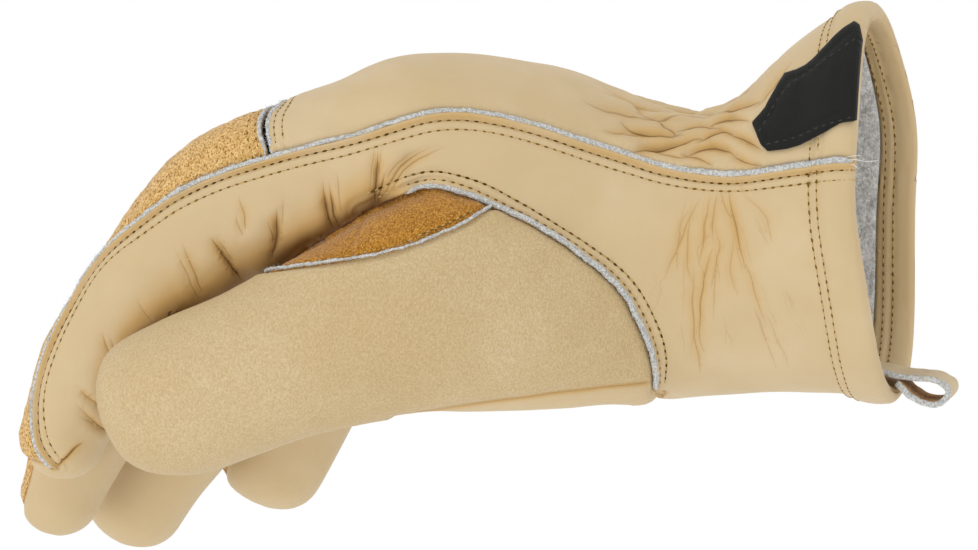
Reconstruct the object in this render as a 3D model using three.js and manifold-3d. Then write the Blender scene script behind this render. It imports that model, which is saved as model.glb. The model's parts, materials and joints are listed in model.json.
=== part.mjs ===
// Insulated driver glove for the right hand, filled out as it is when worn, as an assembly of sewn panels.
// Millimetres. +X points out of the cuff, -Y is the thumb side and +Z is the back of the hand.
// The origin is the middle of the cuff's mouth, where the wrist goes in.
import * as THREE from "three";
import { mergeVertices } from "three/addons/utils/BufferGeometryUtils.js";
import Module from "manifold-3d";

const wasm = await Module();
wasm.setup();

// Walls and clearances
const LEATHER = 2; // panel wall, leather with the insulation sewn to it
const FLEECE = 2.4; // lining wall
const LINING_GAP = 0.7; // between the lining and the panels
const SEAM_GAP = 0.6; // between two panels where they are sewn
const LABEL_CLOTH = 1.2;
const LABEL_GAP = 0.3;

// Cuff and knuckles
const HEM = { length: 11, bulge: 1.6, fold: 1.4 }; // folded edge at the mouth, and its second layer inside
const MOUTH_TILT = { z: -0.06, y: 0.045, length: 30 }; // the mouth leans, less and less over the length
const KNUCKLE_ARC = { start: -88, length: 50, lean: 0.3 }; // the little finger's knuckle lies further back
const GATHER = { x: -43, reach: 20, depth: 2, waves: 8 }; // ridges that the elastic pulls up on the wrist
const LINING = { start: -12, end: -129 };

// Points round one section of each form: more across the back of the hand, for the gathers
const HAND_SIDES = { back: 26, palm: 12 };
const HAND_INNER_SIDES = { back: 10, palm: 10 };
const FINGER_SIDES = 12;
const FINGER_INNER_SIDES = 8;
const THUMB_SIDES = 16;
const THUMB_INNER_SIDES = 10;

// The hand from the mouth to the knuckles. x, y, z: middle of the section; w: half width; up and down: half
// heights to the back and to the palm; power: 2 is an ellipse, more is squarer; roll: degrees, thumb side up.
const HAND = [
  { x: 0, y: 0, z: 0, w: 38, up: 50, down: 47.6, power: 2.2, roll: 0 },
  { x: -10, y: 0, z: 0, w: 37.4, up: 47.6, down: 46, power: 2.2, roll: 0 },
  { x: -19, y: 0, z: 0, w: 36.5, up: 42.6, down: 45.6, power: 2.2, roll: 1 },
  { x: -28, y: 0, z: -1, w: 35.4, up: 36.2, down: 44.8, power: 2.2, roll: 2 },
  { x: -35, y: 0, z: -3, w: 34.6, up: 31, down: 43.2, power: 2.2, roll: 3 },
  { x: -42, y: 0, z: -4.5, w: 34.2, up: 28.2, down: 42.4, power: 2.2, roll: 4 },
  { x: -49, y: 0, z: -5, w: 34.6, up: 28, down: 42.6, power: 2.2, roll: 5 },
  { x: -56, y: 0, z: -5, w: 36, up: 29, down: 42.8, power: 2.2, roll: 6 },
  { x: -66, y: 0, z: -4, w: 39, up: 32, down: 40, power: 2.25, roll: 8 },
  { x: -78, y: 0, z: -1, w: 43, up: 34, down: 38, power: 2.3, roll: 10 },
  { x: -92, y: 0, z: 3, w: 47.5, up: 32.2, down: 34.5, power: 2.3, roll: 12 },
  { x: -106, y: 0, z: 6, w: 50.5, up: 29.6, down: 30, power: 2.35, roll: 13.5 },
  { x: -120, y: 0, z: 6.5, w: 51.4, up: 26.6, down: 26, power: 2.4, roll: 15 },
  { x: -132, y: 0, z: 4.5, w: 51.2, up: 21.8, down: 22, power: 2.4, roll: 16.5 },
  { x: -142, y: -0.5, z: 2.5, w: 50, up: 19.6, down: 18, power: 2.4, roll: 17 },
  { x: -149, y: -1, z: 0.5, w: 47.5, up: 16, down: 14, power: 2.4, roll: 17 },
  { x: -153, y: -1.5, z: -0.5, w: 44, up: 10, down: 8.5, power: 2.3, roll: 17 },
];
const LINING_ROWS = [1, 2, 3, 4, 5, 6, 7, 8, 10, 11, 12, 13]; // rows of the hand that the lining follows
const LABEL_ROWS = [0, 0.5, 1, 2, 3, 4]; // rows of the hand under the label

// Each finger's centre line lies in an upright plane. t: half thickness, back to palm; w: half width.
// The rounded tip reaches past the last row by its dome. gap: the finger's share of the hand's width.
// A fold is a crease across the near side at a place counted in rows.
const FINGER_POWER = 2.15;
const FOLD_REACH = 0.25;
const FOLD_BACK = 0.5; // creases fade out above this share of the thickness
const DOME = { power: 2.4, outer: [0, 0.45, 0.78, 0.95], inner: [0, 0.6, 0.9] };
const FINGERS = {
  index: {
    dome: 11.5,
    gap: [-130, -26],
    folds: [
      { place: 1.4, depth: 1 },
      { place: 2.5, depth: 1 },
      { place: 3.55, depth: 0.8 },
      { place: 4.6, depth: 0.6 },
    ],
    rows: [
      { x: -110, y: -38, z: 10, t: 15, w: 14 },
      { x: -124, y: -38.6, z: 8.6, t: 17.4, w: 14.6 },
      { x: -138, y: -39, z: 6.2, t: 20, w: 14.8 },
      { x: -148, y: -39.2, z: 3.6, t: 20.4, w: 14.4 },
      { x: -156.6, y: -39.5, z: 0.6, t: 18.6, w: 13.6 },
      { x: -164, y: -40, z: -6.2, t: 17.6, w: 13.4 },
      { x: -171, y: -40.3, z: -13.2, t: 15.8, w: 13.2 },
      { x: -178, y: -40.6, z: -21.4, t: 14.6, w: 13 },
      { x: -185, y: -40.9, z: -29.6, t: 13.3, w: 12.9 },
      { x: -190.6, y: -41.1, z: -38.6, t: 13.3, w: 12.8 },
      { x: -195, y: -41.3, z: -47.6, t: 13.1, w: 12.6 },
      { x: -197.6, y: -41.5, z: -55.4, t: 12.8, w: 12.3 },
    ],
  },
  middle: {
    dome: 12.5,
    gap: [-26, 0.5],
    folds: [],
    rows: [
      { x: -122, y: -12.5, z: 9, t: 12.6, w: 12 },
      { x: -139, y: -12.5, z: 9.5, t: 14, w: 12.6 },
      { x: -151, y: -12.6, z: 7.4, t: 15.2, w: 12.7 },
      { x: -161.5, y: -12.8, z: 0.6, t: 14.1, w: 12.7 },
      { x: -170.5, y: -13, z: -7.4, t: 14, w: 12.7 },
      { x: -178.5, y: -13.2, z: -16.8, t: 13.9, w: 12.6 },
      { x: -185.5, y: -13.4, z: -27, t: 13.8, w: 12.6 },
      { x: -191.8, y: -13.6, z: -37.8, t: 13.7, w: 12.5 },
      { x: -197.4, y: -13.8, z: -49.2, t: 13.6, w: 12.4 },
      { x: -202, y: -14, z: -61, t: 13.4, w: 12.3 },
      { x: -205.2, y: -14.2, z: -71.8, t: 13, w: 12.1 },
    ],
  },
  ring: {
    dome: 13,
    gap: [0.5, 26],
    folds: [],
    rows: [
      { x: -116, y: 13.5, z: 5, t: 16, w: 12.4 },
      { x: -132, y: 13.5, z: 4, t: 16.4, w: 12.8 },
      { x: -143.5, y: 13.6, z: -2, t: 15.4, w: 12.7 },
      { x: -153, y: 13.8, z: -11.6, t: 14.5, w: 12.6 },
      { x: -161, y: 14, z: -22.6, t: 13.6, w: 12.5 },
      { x: -168, y: 14.2, z: -33.8, t: 13.5, w: 12.4 },
      { x: -175, y: 14.4, z: -45.2, t: 13.9, w: 12.5 },
      { x: -181.8, y: 14.6, z: -56.8, t: 14.3, w: 12.5 },
      { x: -189.6, y: 14.8, z: -67.6, t: 13.8, w: 12.5 },
      { x: -195.4, y: 15, z: -76.4, t: 13.2, w: 12.4 },
    ],
  },
  little: {
    dome: 12,
    gap: [26, 130],
    folds: [],
    rows: [
      { x: -104, y: 36, z: -2, t: 14, w: 12 },
      { x: -120, y: 37.4, z: -4.4, t: 14.6, w: 12.2 },
      { x: -131.6, y: 38.2, z: -12.4, t: 14, w: 12 },
      { x: -140.6, y: 39, z: -23.2, t: 13, w: 11.8 },
      { x: -148, y: 39.6, z: -35, t: 12.8, w: 11.6 },
      { x: -154.6, y: 40.2, z: -47.4, t: 14, w: 11.6 },
      { x: -161.4, y: 40.8, z: -59.4, t: 14.4, w: 11.5 },
      { x: -167.2, y: 41.4, z: -70.6, t: 14.2, w: 11.4 },
    ],
  },
};

// The thumb lies along the index finger, in sections square to X. w: half thickness; h: half height.
const THUMB_POWER = 2.25;
const THUMB_MIN = 0.8; // least half size of an inner section
const THUMB = [
  { x: -46, y: -14, z: -28, w: 8, h: 5 },
  { x: -54, y: -20, z: -28, w: 12, h: 18.6 },
  { x: -64, y: -27.5, z: -25.6, w: 14.8, h: 21.6 },
  { x: -76, y: -34.8, z: -24, w: 16.8, h: 23.6 },
  { x: -90, y: -41.4, z: -21.8, w: 17.6, h: 26 },
  { x: -104, y: -47, z: -21.4, w: 18, h: 26.6 },
  { x: -118, y: -51.5, z: -25.4, w: 18.2, h: 24.8 },
  { x: -132, y: -55, z: -30.8, w: 18, h: 22.6 },
  { x: -146, y: -57.5, z: -37, w: 17.4, h: 21.2 },
  { x: -158, y: -59.2, z: -41.6, w: 16.6, h: 20 },
  { x: -168, y: -60.2, z: -43.6, w: 15.2, h: 17.8 },
  { x: -175, y: -60.8, z: -43.8, w: 12.8, h: 14.6 },
  { x: -179.5, y: -61, z: -43.2, w: 9.6, h: 10.4 },
  { x: -182, y: -61, z: -42.6, w: 5.2, h: 5.4 },
];

// Seams, seen from the side as x and z, from the cuff to the fingertip
const FAR = 130; // beyond the glove in every direction
const INDEX_SEAM = [
  [12, 14.5],
  [-1.5, 14.2],
  [-15.7, 12.4],
  [-25.2, 10.7],
  [-34.7, 11.1],
  [-49.2, 13.3],
  [-63.6, 16.8],
  [-78.2, 21.4],
  [-92.8, 24.9],
  [-101.3, 25.5],
  [-111.1, 23.8],
  [-123.4, 20.1],
  [-135.8, 15.7],
  [-148.2, 11.5],
  [-165.7, 6.5],
  [-180.8, -2.8],
  [-192.3, -17.6],
  [-199.6, -32],
  [-203.4, -44],
  [-203.6, -54],
  [-200, -62.4],
  [-197, -72],
];
const INDEX_SEAM_HAND = INDEX_SEAM.slice(0, 15); // the stretch along the hand
const INDEX_SEAM_FINGER = INDEX_SEAM.slice(11); // the stretch along the finger
const MIDDLE_SEAM = [
  [12, 6],
  [-100, -4],
  [-122, 4],
  [-140, 1],
  [-152, -8],
];
const OUTER_SEAM = [
  [12, 6],
  [-12, 4],
  [-30, -4],
  [-48, -8],
  [-66, -8],
  [-86, -7],
  [-106, -6],
  [-122, -8],
  [-138, -20],
];
const FINGER_SEAM_LIFT = 2.5; // finger seams lie this far above each centre line

// The thumb's panels: the sewn edge on the hand, the valley beside the index finger, the lower edge of the
// suede gusset and the upper edge of the underside, all in x and z; and the end on the palm, in x and y
const THUMB_SEAM = [
  [-53, -62],
  [-53, -43.5],
  [-52.6, -36.4],
  [-54.4, -26.9],
  [-60.4, -15.1],
  [-72.5, -5.8],
  [-89.6, 2.4],
  [-104.2, 7],
];
const THUMB_VALLEY = [
  [-108, 4.6],
  [-114, 1.8],
  [-120, -1],
];
const GUSSET_SEAM = [
  [-88, 3.2],
  [-96, -3.4],
  [-108, -8.2],
  [-122, -11.2],
  [-136, -13.4],
  [-144, -14.4],
];
const UNDER_SEAM = [
  [-30, -40.4],
  [-51, -41.4],
  [-75, -43.6],
  [-98, -46.4],
  [-116, -50],
  [-138, -55.5],
  [-156, -62],
];
const THUMB_FOOT = [
  [-30, -6],
  [-60, -13],
  [-96, -27],
  [-130, -27],
];
const THUMB_FREE_X = -120; // past this the thumb is clear of the hand

// The stretch band's middle line across the knuckles, seen from above as x and y
const KNUCKLES = [
  [-145, -75],
  [-146, -39],
  [-147, -12],
  [-141, 14],
  [-131, 40],
  [-124, 75],
];
const BAND_WIDTH = 2;

// The label over the back edge of the mouth, in x and z
const LABEL = [
  [-3.2, 45],
  [-3.2, 22],
  [-9, 21.4],
  [-16, 17.4],
  [-26.4, 15],
  [-30.4, 21.8],
  [-22, 34.6],
  [-8, 46.5],
];

// The pull loop: the outside and the inside of the folded strip, in x and z
const LOOP_WIDTH = 17;
const LOOP_OUTSIDE = [
  [-9, -37.6],
  [2, -39],
  [9, -39.4],
  [15, -40.6],
  [17.4, -43.4],
  [13.6, -47.6],
  [9, -48],
  [5.2, -45],
  [3.8, -41.6],
  [-9, -39.8],
];
const LOOP_INSIDE = [
  [6.4, -43.6],
  [9.2, -46.6],
  [13.2, -46.2],
  [15.8, -43.6],
  [14.2, -41.9],
  [9, -40.9],
  [6.4, -41.2],
];

// Finishes
const SMOOTH_TAN = { color: 0xcdb284, roughness: 0.55, metalness: 0 };
const GRAINED_TAN = { color: 0xcbb184, roughness: 0.6, metalness: 0 };
const SUEDE = { color: 0xc08a45, roughness: 0.95, metalness: 0 };
const BLACK_CLOTH = { color: 0x202022, roughness: 0.9, metalness: 0 };
const GREY_FLEECE = { color: 0xa8a49c, roughness: 1, metalness: 0 };

// Every column of a table at a fractional row, on a Catmull-Rom curve through the rows
function rowAt(table, place) {
  const i = Math.min(Math.floor(place), table.length - 2);
  const f = place - i;
  const at = (k) => table[Math.min(Math.max(k, 0), table.length - 1)];
  const blend = (a, b, c, d) =>
    b + 0.5 * f * (c - a + f * (2 * a - 5 * b + 4 * c - d + f * (3 * (b - c) + d - a)));
  const columns = Object.keys(table[0]);
  const value = (key) => blend(at(i - 1)[key], at(i)[key], at(i + 1)[key], at(i + 2)[key]);
  return Object.fromEntries(columns.map((key) => [key, value(key)]));
}

// A point of a unit superellipse at an angle
function superellipse(angle, power) {
  const c = Math.cos(angle);
  const s = Math.sin(angle);
  const bend = 2 / power;
  return [Math.sign(c) * Math.abs(c) ** bend, Math.sign(s) * Math.abs(s) ** bend];
}

// Angles once round, from the little finger's side over the back to the palm
function roundAngles({ back, palm }) {
  const over = Array.from({ length: back }, (_, k) => (k / back) * Math.PI);
  const under = Array.from({ length: palm }, (_, k) => Math.PI + (k / palm) * Math.PI);
  return [...over, ...under];
}

function evenAngles(sides) {
  return Array.from({ length: sides }, (_, k) => (k / sides) * 2 * Math.PI);
}

// A line of pairs moved sideways, to the left of the way that it runs
function offset(line, by) {
  return line.map(([u, v], i) => {
    const [u0, v0] = line[Math.max(i - 1, 0)];
    const [u1, v1] = line[Math.min(i + 1, line.length - 1)];
    const length = Math.hypot(u1 - u0, v1 - v0);
    return [u - (by * (v1 - v0)) / length, v + (by * (u1 - u0)) / length];
  });
}

// A closed geometry as a solid that can be joined and cut, turned to face out
function solid(geometry) {
  const bare = new THREE.BufferGeometry();
  bare.setAttribute("position", geometry.getAttribute("position"));
  if (geometry.index) bare.setIndex(geometry.index);
  const merged = mergeVertices(bare);
  const vertProperties = new Float32Array(merged.attributes.position.array);
  const triVerts = new Uint32Array(merged.index.array);
  const made = new wasm.Manifold(new wasm.Mesh({ numProp: 3, vertProperties, triVerts }));
  if (made.volume() > 0) return made;
  const turned = triVerts.map((_, i) => triVerts[i - (i % 3) + [0, 2, 1][i % 3]]);
  return new wasm.Manifold(new wasm.Mesh({ numProp: 3, vertProperties, triVerts: turned }));
}

const join = (solids) => solids.reduce((all, next) => all.add(next));

// The largest body of a solid, without crumbs that a cut leaves at a corner
function mainBody(made) {
  return made.decompose().sort((a, b) => b.volume() - a.volume())[0];
}

// Closed solid through rings of points, with a fan over each end
function loft(rings) {
  const sides = rings[0].length;
  const position = rings.flat().flatMap((p) => [p.x, p.y, p.z]);
  const index = [];
  const quad = (a, b, c, d) => index.push(a, b, c, b, d, c);
  for (let r = 0; r + 1 < rings.length; r++) {
    for (let k = 0; k < sides; k++) {
      const a = r * sides + k;
      const b = r * sides + ((k + 1) % sides);
      quad(a, b, a + sides, b + sides);
    }
  }
  const cap = (ring, first, turned) => {
    const middle = ring.reduce((sum, p) => sum.add(p), new THREE.Vector3()).divideScalar(sides);
    const hub = position.length / 3;
    position.push(middle.x, middle.y, middle.z);
    for (let k = 0; k < sides; k++) {
      const edge = [first + k, first + ((k + 1) % sides)];
      index.push(hub, ...(turned ? edge.reverse() : edge));
    }
  };
  cap(rings[0], 0, true);
  cap(rings.at(-1), (rings.length - 1) * sides, false);
  const geometry = new THREE.BufferGeometry();
  geometry.setAttribute("position", new THREE.Float32BufferAttribute(position, 3));
  geometry.setIndex(index);
  return solid(geometry);
}

function extrusion(outline, from, to) {
  const shape = new THREE.Shape(outline.map(([u, v]) => new THREE.Vector2(u, v)));
  const made = new THREE.ExtrudeGeometry(shape, { depth: to - from, bevelEnabled: false });
  return made.translate(0, 0, from);
}

// An outline in x and y, extruded along Z between two heights
function prismZ(outline, from, to) {
  return solid(extrusion(outline, from, to));
}

// An outline in x and z, extruded along Y between two depths
function prismY(outline, from, to) {
  return solid(extrusion(outline, -to, -from).rotateX(Math.PI / 2));
}

// All space between two values of x
function slab(from, to) {
  const corners = [[from, -FAR], [to, -FAR], [to, FAR], [from, FAR]];
  return prismY(corners, -FAR, FAR);
}

// How far the folded hem puffs out, in its length from the mouth
function hemBulge(x) {
  const share = THREE.MathUtils.clamp(-x / HEM.length, 0, 1);
  return HEM.bulge * Math.sin(Math.PI * share);
}

// Ridges along the hand across the back of the wrist, flat towards the sides and the ends
function gatherHeight(x, angle) {
  const along = Math.min(Math.abs(x - GATHER.x) / GATHER.reach, 1);
  const over = THREE.MathUtils.clamp(2.5 * Math.sin(angle) - 0.25, 0, 1);
  return GATHER.depth * Math.cos((along * Math.PI) / 2) ** 2 * over * Math.cos(2 * GATHER.waves * angle);
}

// One ring of the hand at a fractional row. Only the outer skin has the hem's bulge and the gathers.
function handRing(place, sides, inset) {
  const row = rowAt(HAND, place);
  const roll = THREE.MathUtils.degToRad(row.roll);
  const tilt = Math.max(0, 1 + row.x / MOUTH_TILT.length);
  const arc = THREE.MathUtils.clamp((KNUCKLE_ARC.start - row.x) / KNUCKLE_ARC.length, 0, 1);
  return roundAngles(sides).map((angle) => {
    const [c, s] = superellipse(angle, row.power);
    const grow = inset === 0 ? hemBulge(row.x) + gatherHeight(row.x, angle) : -inset;
    const y = c * (row.w + grow);
    const z = s * ((s > 0 ? row.up : row.down) + grow);
    const lean = tilt * (MOUTH_TILT.z * z + MOUTH_TILT.y * y);
    return new THREE.Vector3(
      row.x + lean + arc * KNUCKLE_ARC.lean * Math.max(0, y),
      row.y + y * Math.cos(roll) + z * Math.sin(roll),
      row.z - y * Math.sin(roll) + z * Math.cos(roll),
    );
  });
}

const handRings = (places, sides, inset) => places.map((place) => handRing(place, sides, inset));

function handForm() {
  const middleOfHem = 0.5;
  const [mouth, ...rest] = HAND.keys();
  return loft(handRings([mouth, middleOfHem, ...rest], HAND_SIDES, 0));
}

// The hollow of the hand, open past the mouth
function handHollow() {
  const rings = handRings([...HAND.keys()], HAND_INNER_SIDES, LEATHER);
  rings.at(-1).forEach((p) => (p.x += LEATHER));
  rings.unshift(rings[0].map((p) => p.clone().setX(HEM.length)));
  return loft(rings);
}

// The narrower hollow inside the folded hem
function hemHollow() {
  const rings = handRings([0, 0.5, 1, 1.6], HAND_INNER_SIDES, LEATHER + HEM.fold);
  rings.unshift(rings[0].map((p) => p.clone().setX(HEM.length)));
  return loft(rings);
}

// Centre, directions and half sizes of a finger at a fractional row
function fingerFrame(rows, place) {
  const row = rowAt(rows, place);
  const step = 0.05;
  const before = rowAt(rows, Math.max(place - step, 0));
  const after = rowAt(rows, Math.min(place + step, rows.length - 1));
  const along = new THREE.Vector3(after.x - before.x, 0, after.z - before.z).normalize();
  const back = new THREE.Vector3(along.z, 0, -along.x);
  return { centre: new THREE.Vector3(row.x, row.y, row.z), along, back, t: row.t, w: row.w };
}

// One ring of a finger, shrunk and moved on along it for the tip, pinched on the near side for a crease
function fingerRing(frame, sides, inset, { shrink = 1, on = 0, pinch = 0 }) {
  return evenAngles(sides).map((angle) => {
    const [c, s] = superellipse(angle, FINGER_POWER);
    const crease = c < 0 && s < FOLD_BACK ? pinch : 0;
    const across = c * (frame.w - inset - crease) * shrink;
    return frame.centre
      .clone()
      .addScaledVector(frame.along, on)
      .addScaledVector(new THREE.Vector3(0, 1, 0), across)
      .addScaledVector(frame.back, s * (frame.t - inset) * shrink);
  });
}

function fingerForm({ rows, dome, folds }, sides, inset) {
  const inner = inset > 0;
  const stops = rows.slice(0, -1).map((_, i) => ({ place: i, pinch: 0 }));
  const kept = inner ? stops.filter(({ place }) => place % 2 === 0) : stops;
  for (const { place, depth } of inner ? [] : folds) {
    kept.push({ place: place - FOLD_REACH, pinch: -depth });
    kept.push({ place, pinch: depth });
    kept.push({ place: place + FOLD_REACH, pinch: -depth });
  }
  kept.sort((a, b) => a.place - b.place);
  const rings = kept.map(({ place, pinch }) =>
    fingerRing(fingerFrame(rows, place), sides, inset, { pinch }),
  );
  const last = fingerFrame(rows, rows.length - 1);
  for (const share of inner ? DOME.inner : DOME.outer) {
    const shrink = Math.sqrt(1 - share ** DOME.power);
    rings.push(fingerRing(last, sides, inset, { shrink, on: share * (dome - inset) }));
  }
  return loft(rings);
}

function thumbForm(sides, inset) {
  const rings = THUMB.map(({ x, y, z, w, h }, i) => {
    const end = i >= THUMB.length - 3 ? inset : 0;
    const half = Math.max(w - inset, THUMB_MIN);
    const height = Math.max(h - inset, THUMB_MIN);
    return evenAngles(sides).map((angle) => {
      const [c, s] = superellipse(angle, THUMB_POWER);
      return new THREE.Vector3(x + end, y + c * half, z + s * height);
    });
  });
  return loft(rings);
}

// The whole leather wall, before it is cut into panels
const fingers = Object.values(FINGERS);
const outside = join([
  handForm(),
  ...fingers.map((finger) => fingerForm(finger, FINGER_SIDES, 0)),
  thumbForm(THUMB_SIDES, 0),
]);
const hollow = join([
  handHollow(),
  ...fingers.map((finger) => fingerForm(finger, FINGER_INNER_SIDES, LEATHER)),
  thumbForm(THUMB_INNER_SIDES, LEATHER),
]).subtract(slab(-HEM.length, FAR));
const wall = outside.subtract(hollow).subtract(hemHollow());

// Each region below is the space that one panel takes out of the wall, widened by grow at its sewn edges
function backRegion(grow) {
  const above = (seam) => {
    const line = offset(seam, grow);
    return [...line, [line.at(-1)[0], FAR], [line[0][0], FAR]];
  };
  const outer = FINGERS.little.gap[0];
  return join([
    prismY(above(INDEX_SEAM_HAND), -FAR, 0),
    prismY(above(MIDDLE_SEAM), 0, outer),
    prismY(above(OUTER_SEAM), outer, FAR),
  ]);
}

// Space between two lines that run beside the knuckle line
function knuckleStrip(from, to) {
  const shifted = (by) => KNUCKLES.map(([x, y]) => [x + by, y]);
  return prismZ([...shifted(from), ...shifted(to).reverse()], -FAR, FAR);
}

function fingerBackRegion({ rows, gap }, grow) {
  const above = 45;
  const beyond = 40;
  const last = fingerFrame(rows, rows.length - 1);
  const end = last.centre.addScaledVector(last.along, beyond);
  const spots = rows.map((_, i) => fingerFrame(rows, i));
  spots.push({ centre: end, back: last.back });
  const line = (lift) =>
    spots.map(({ centre, back }) => [centre.x + back.x * lift, centre.z + back.z * lift]);
  const outline = [...line(FINGER_SEAM_LIFT - grow), ...line(above).reverse()];
  return prismY(outline, gap[0] - grow, gap[1] + grow);
}

// On its near side the index finger's suede ends at the long seam
function indexBackRegion(grow) {
  const middle = FINGERS.index.rows[0].y;
  const seam = offset(INDEX_SEAM_FINGER, grow);
  const corner = [-2 * FAR, seam.at(-1)[1]];
  const outline = [...seam, corner, [-2 * FAR, FAR], [seam[0][0], FAR]];
  const far = fingerBackRegion({ ...FINGERS.index, gap: [middle + grow, FINGERS.index.gap[1]] }, grow);
  return prismY(outline, -FAR, middle).add(far);
}

function thumbRegion(grow) {
  const side = [...offset(THUMB_SEAM, -grow), ...offset(THUMB_VALLEY, -grow), [THUMB_FREE_X, THUMB_SEAM[0][1]]];
  const foot = [...offset(THUMB_FOOT, -grow), [THUMB_FOOT.at(-1)[0], -FAR], [THUMB_FOOT[0][0], -FAR]];
  const root = prismY(side, -FAR, 0).intersect(prismZ(foot, -FAR, FAR));
  const free = thumbForm(THUMB_SIDES, -SEAM_GAP - grow).intersect(slab(-2 * FAR, THUMB_FREE_X + 1));
  return root.add(free);
}

function gussetRegion(grow) {
  const seam = offset(GUSSET_SEAM, grow);
  return prismY([...seam, [-146, 30], [-80, 30], [-80, 9 - grow]], -FAR, 0);
}

function underRegion(grow) {
  const line = offset(UNDER_SEAM, -grow);
  return prismY([...line, [line.at(-1)[0], -FAR], [line[0][0], -FAR]], -FAR, FAR);
}

const half = SEAM_GAP / 2;
const handWall = wall.subtract(thumbRegion(half));
const thumbWall = wall.intersect(thumbRegion(-half));
const fingerSide = knuckleStrip(-FAR, -BAND_WIDTH / 2 - SEAM_GAP);
const cuffSide = knuckleStrip(BAND_WIDTH / 2 + SEAM_GAP, 2 * FAR);
const bandPlace = knuckleStrip(-BAND_WIDTH / 2, BAND_WIDTH / 2);
const fingerBack = (name, grow) =>
  name === "index" ? indexBackRegion(grow) : fingerBackRegion(FINGERS[name], grow);

function palmLeather() {
  const backs = Object.keys(FINGERS).map((name) => fingerBack(name, half).intersect(fingerSide));
  return handWall.subtract(join([backRegion(half), ...backs]));
}

// The fleece sleeve, open at the mouth, towards the fingers and into the thumb
function fleeceLining() {
  const tube = (inset) => {
    const rings = handRings(LINING_ROWS, HAND_INNER_SIDES, inset);
    rings.unshift(rings[0].map((p) => p.clone().setX(p.x + HEM.length)));
    return loft(rings);
  };
  const inset = LEATHER + LINING_GAP;
  const sleeve = tube(inset).subtract(tube(inset + FLEECE));
  const thumbHole = thumbForm(THUMB_INNER_SIDES, inset);
  return sleeve.intersect(slab(LINING.end, LINING.start)).subtract(thumbHole);
}

// A sheet that lies over the back of the cuff, cut to the label's outline
function labelPatch() {
  const grown = (by) =>
    loft(
      LABEL_ROWS.map((place) => {
        const { y, z } = rowAt(HAND, place);
        return handRing(place, HAND_SIDES, 0).map((p) => {
          const out = new THREE.Vector3(0, p.y - y, p.z - z).normalize();
          return p.clone().addScaledVector(out, by);
        });
      }),
    );
  const sheet = grown(LABEL_GAP + LABEL_CLOTH).subtract(grown(LABEL_GAP));
  return sheet.intersect(prismY(LABEL, -FAR, 0));
}

function pullLoop() {
  const side = LOOP_WIDTH / 2;
  return prismY(LOOP_OUTSIDE, -side, side).subtract(prismY(LOOP_INSIDE, -side - 1, side + 1));
}

const glove = new THREE.Group();

function piece(name, made, finish) {
  const { vertProperties, triVerts } = mainBody(made).getMesh();
  const geometry = new THREE.BufferGeometry();
  geometry.setAttribute("position", new THREE.BufferAttribute(vertProperties, 3));
  geometry.setIndex(new THREE.BufferAttribute(triVerts, 1));
  const mesh = new THREE.Mesh(geometry, new THREE.MeshStandardMaterial(finish));
  mesh.name = name;
  glove.add(mesh);
}

const backSpace = backRegion(-half);
piece("palm_leather", palmLeather(), SMOOTH_TAN);
piece("back_leather", handWall.intersect(backSpace).intersect(cuffSide), SMOOTH_TAN);
piece("knuckle_band", handWall.intersect(backSpace).intersect(bandPlace), BLACK_CLOTH);
for (const name of Object.keys(FINGERS)) {
  const suede = handWall.intersect(fingerBack(name, -half)).intersect(fingerSide);
  piece(`${name}_back_suede`, suede, SUEDE);
}
const thumbBody = thumbWall.subtract(gussetRegion(half));
piece("thumb_leather", thumbBody.subtract(underRegion(half)), GRAINED_TAN);
piece("thumb_underside", thumbBody.intersect(underRegion(-half)), SMOOTH_TAN);
piece("thumb_gusset_suede", thumbWall.intersect(gussetRegion(-half)), SUEDE);
piece("fleece_lining", fleeceLining(), GREY_FLEECE);
piece("label_patch", labelPatch(), BLACK_CLOTH);
piece("pull_loop", pullLoop(), SMOOTH_TAN);

export default glove;
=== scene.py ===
import json
import math
from functools import lru_cache

import bpy
import numpy as np
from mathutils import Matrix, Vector
from mathutils.bvhtree import BVHTree
from mathutils.kdtree import KDTree

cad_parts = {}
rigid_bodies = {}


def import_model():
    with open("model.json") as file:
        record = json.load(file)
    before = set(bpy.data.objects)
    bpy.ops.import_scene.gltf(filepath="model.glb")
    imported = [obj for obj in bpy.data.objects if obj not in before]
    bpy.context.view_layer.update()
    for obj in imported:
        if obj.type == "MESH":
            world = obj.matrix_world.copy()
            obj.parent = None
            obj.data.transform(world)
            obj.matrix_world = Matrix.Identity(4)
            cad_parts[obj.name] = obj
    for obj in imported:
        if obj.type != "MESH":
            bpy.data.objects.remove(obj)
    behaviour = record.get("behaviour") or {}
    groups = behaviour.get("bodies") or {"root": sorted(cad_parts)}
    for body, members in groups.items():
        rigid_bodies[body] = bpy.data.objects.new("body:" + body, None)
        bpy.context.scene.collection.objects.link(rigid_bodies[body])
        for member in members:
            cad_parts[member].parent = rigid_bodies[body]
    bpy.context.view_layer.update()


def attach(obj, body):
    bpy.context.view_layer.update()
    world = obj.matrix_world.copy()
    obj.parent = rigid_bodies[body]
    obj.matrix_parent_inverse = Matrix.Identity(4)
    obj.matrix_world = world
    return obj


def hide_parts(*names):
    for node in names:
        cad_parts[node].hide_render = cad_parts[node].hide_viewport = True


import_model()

bl_info = {
    "name": "Insulated driver glove",
    "version": (1, 0, 0),
    "blender": (4, 5, 0),
    "location": "3D View > Sidebar > Glove",
    "description": "Dresses an insulated driver glove in leather, suede, fleece and stitching",
    "category": "Object",
}

# Lengths are millimetres until a mesh is made. +X points out of the cuff, -Y is the thumb side and +Z the
# back of the hand. FAR is more than the glove reaches on any side.
MM = 0.001
FAR = 130.0
TINY = 1e-9


def table(columns, *rows):
    """A table with named columns, as one array for each column."""
    return dict(zip(columns.split(), np.array(rows, float).T))


def line_of(*points):
    """A line or an outline from its points."""
    return np.array(points, float)


# Walls
LEATHER = 2.0
FLEECE = 2.4
LINING_GAP = 0.7
LABEL_CLOTH = 1.2
LABEL_GAP = 0.3

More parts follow.
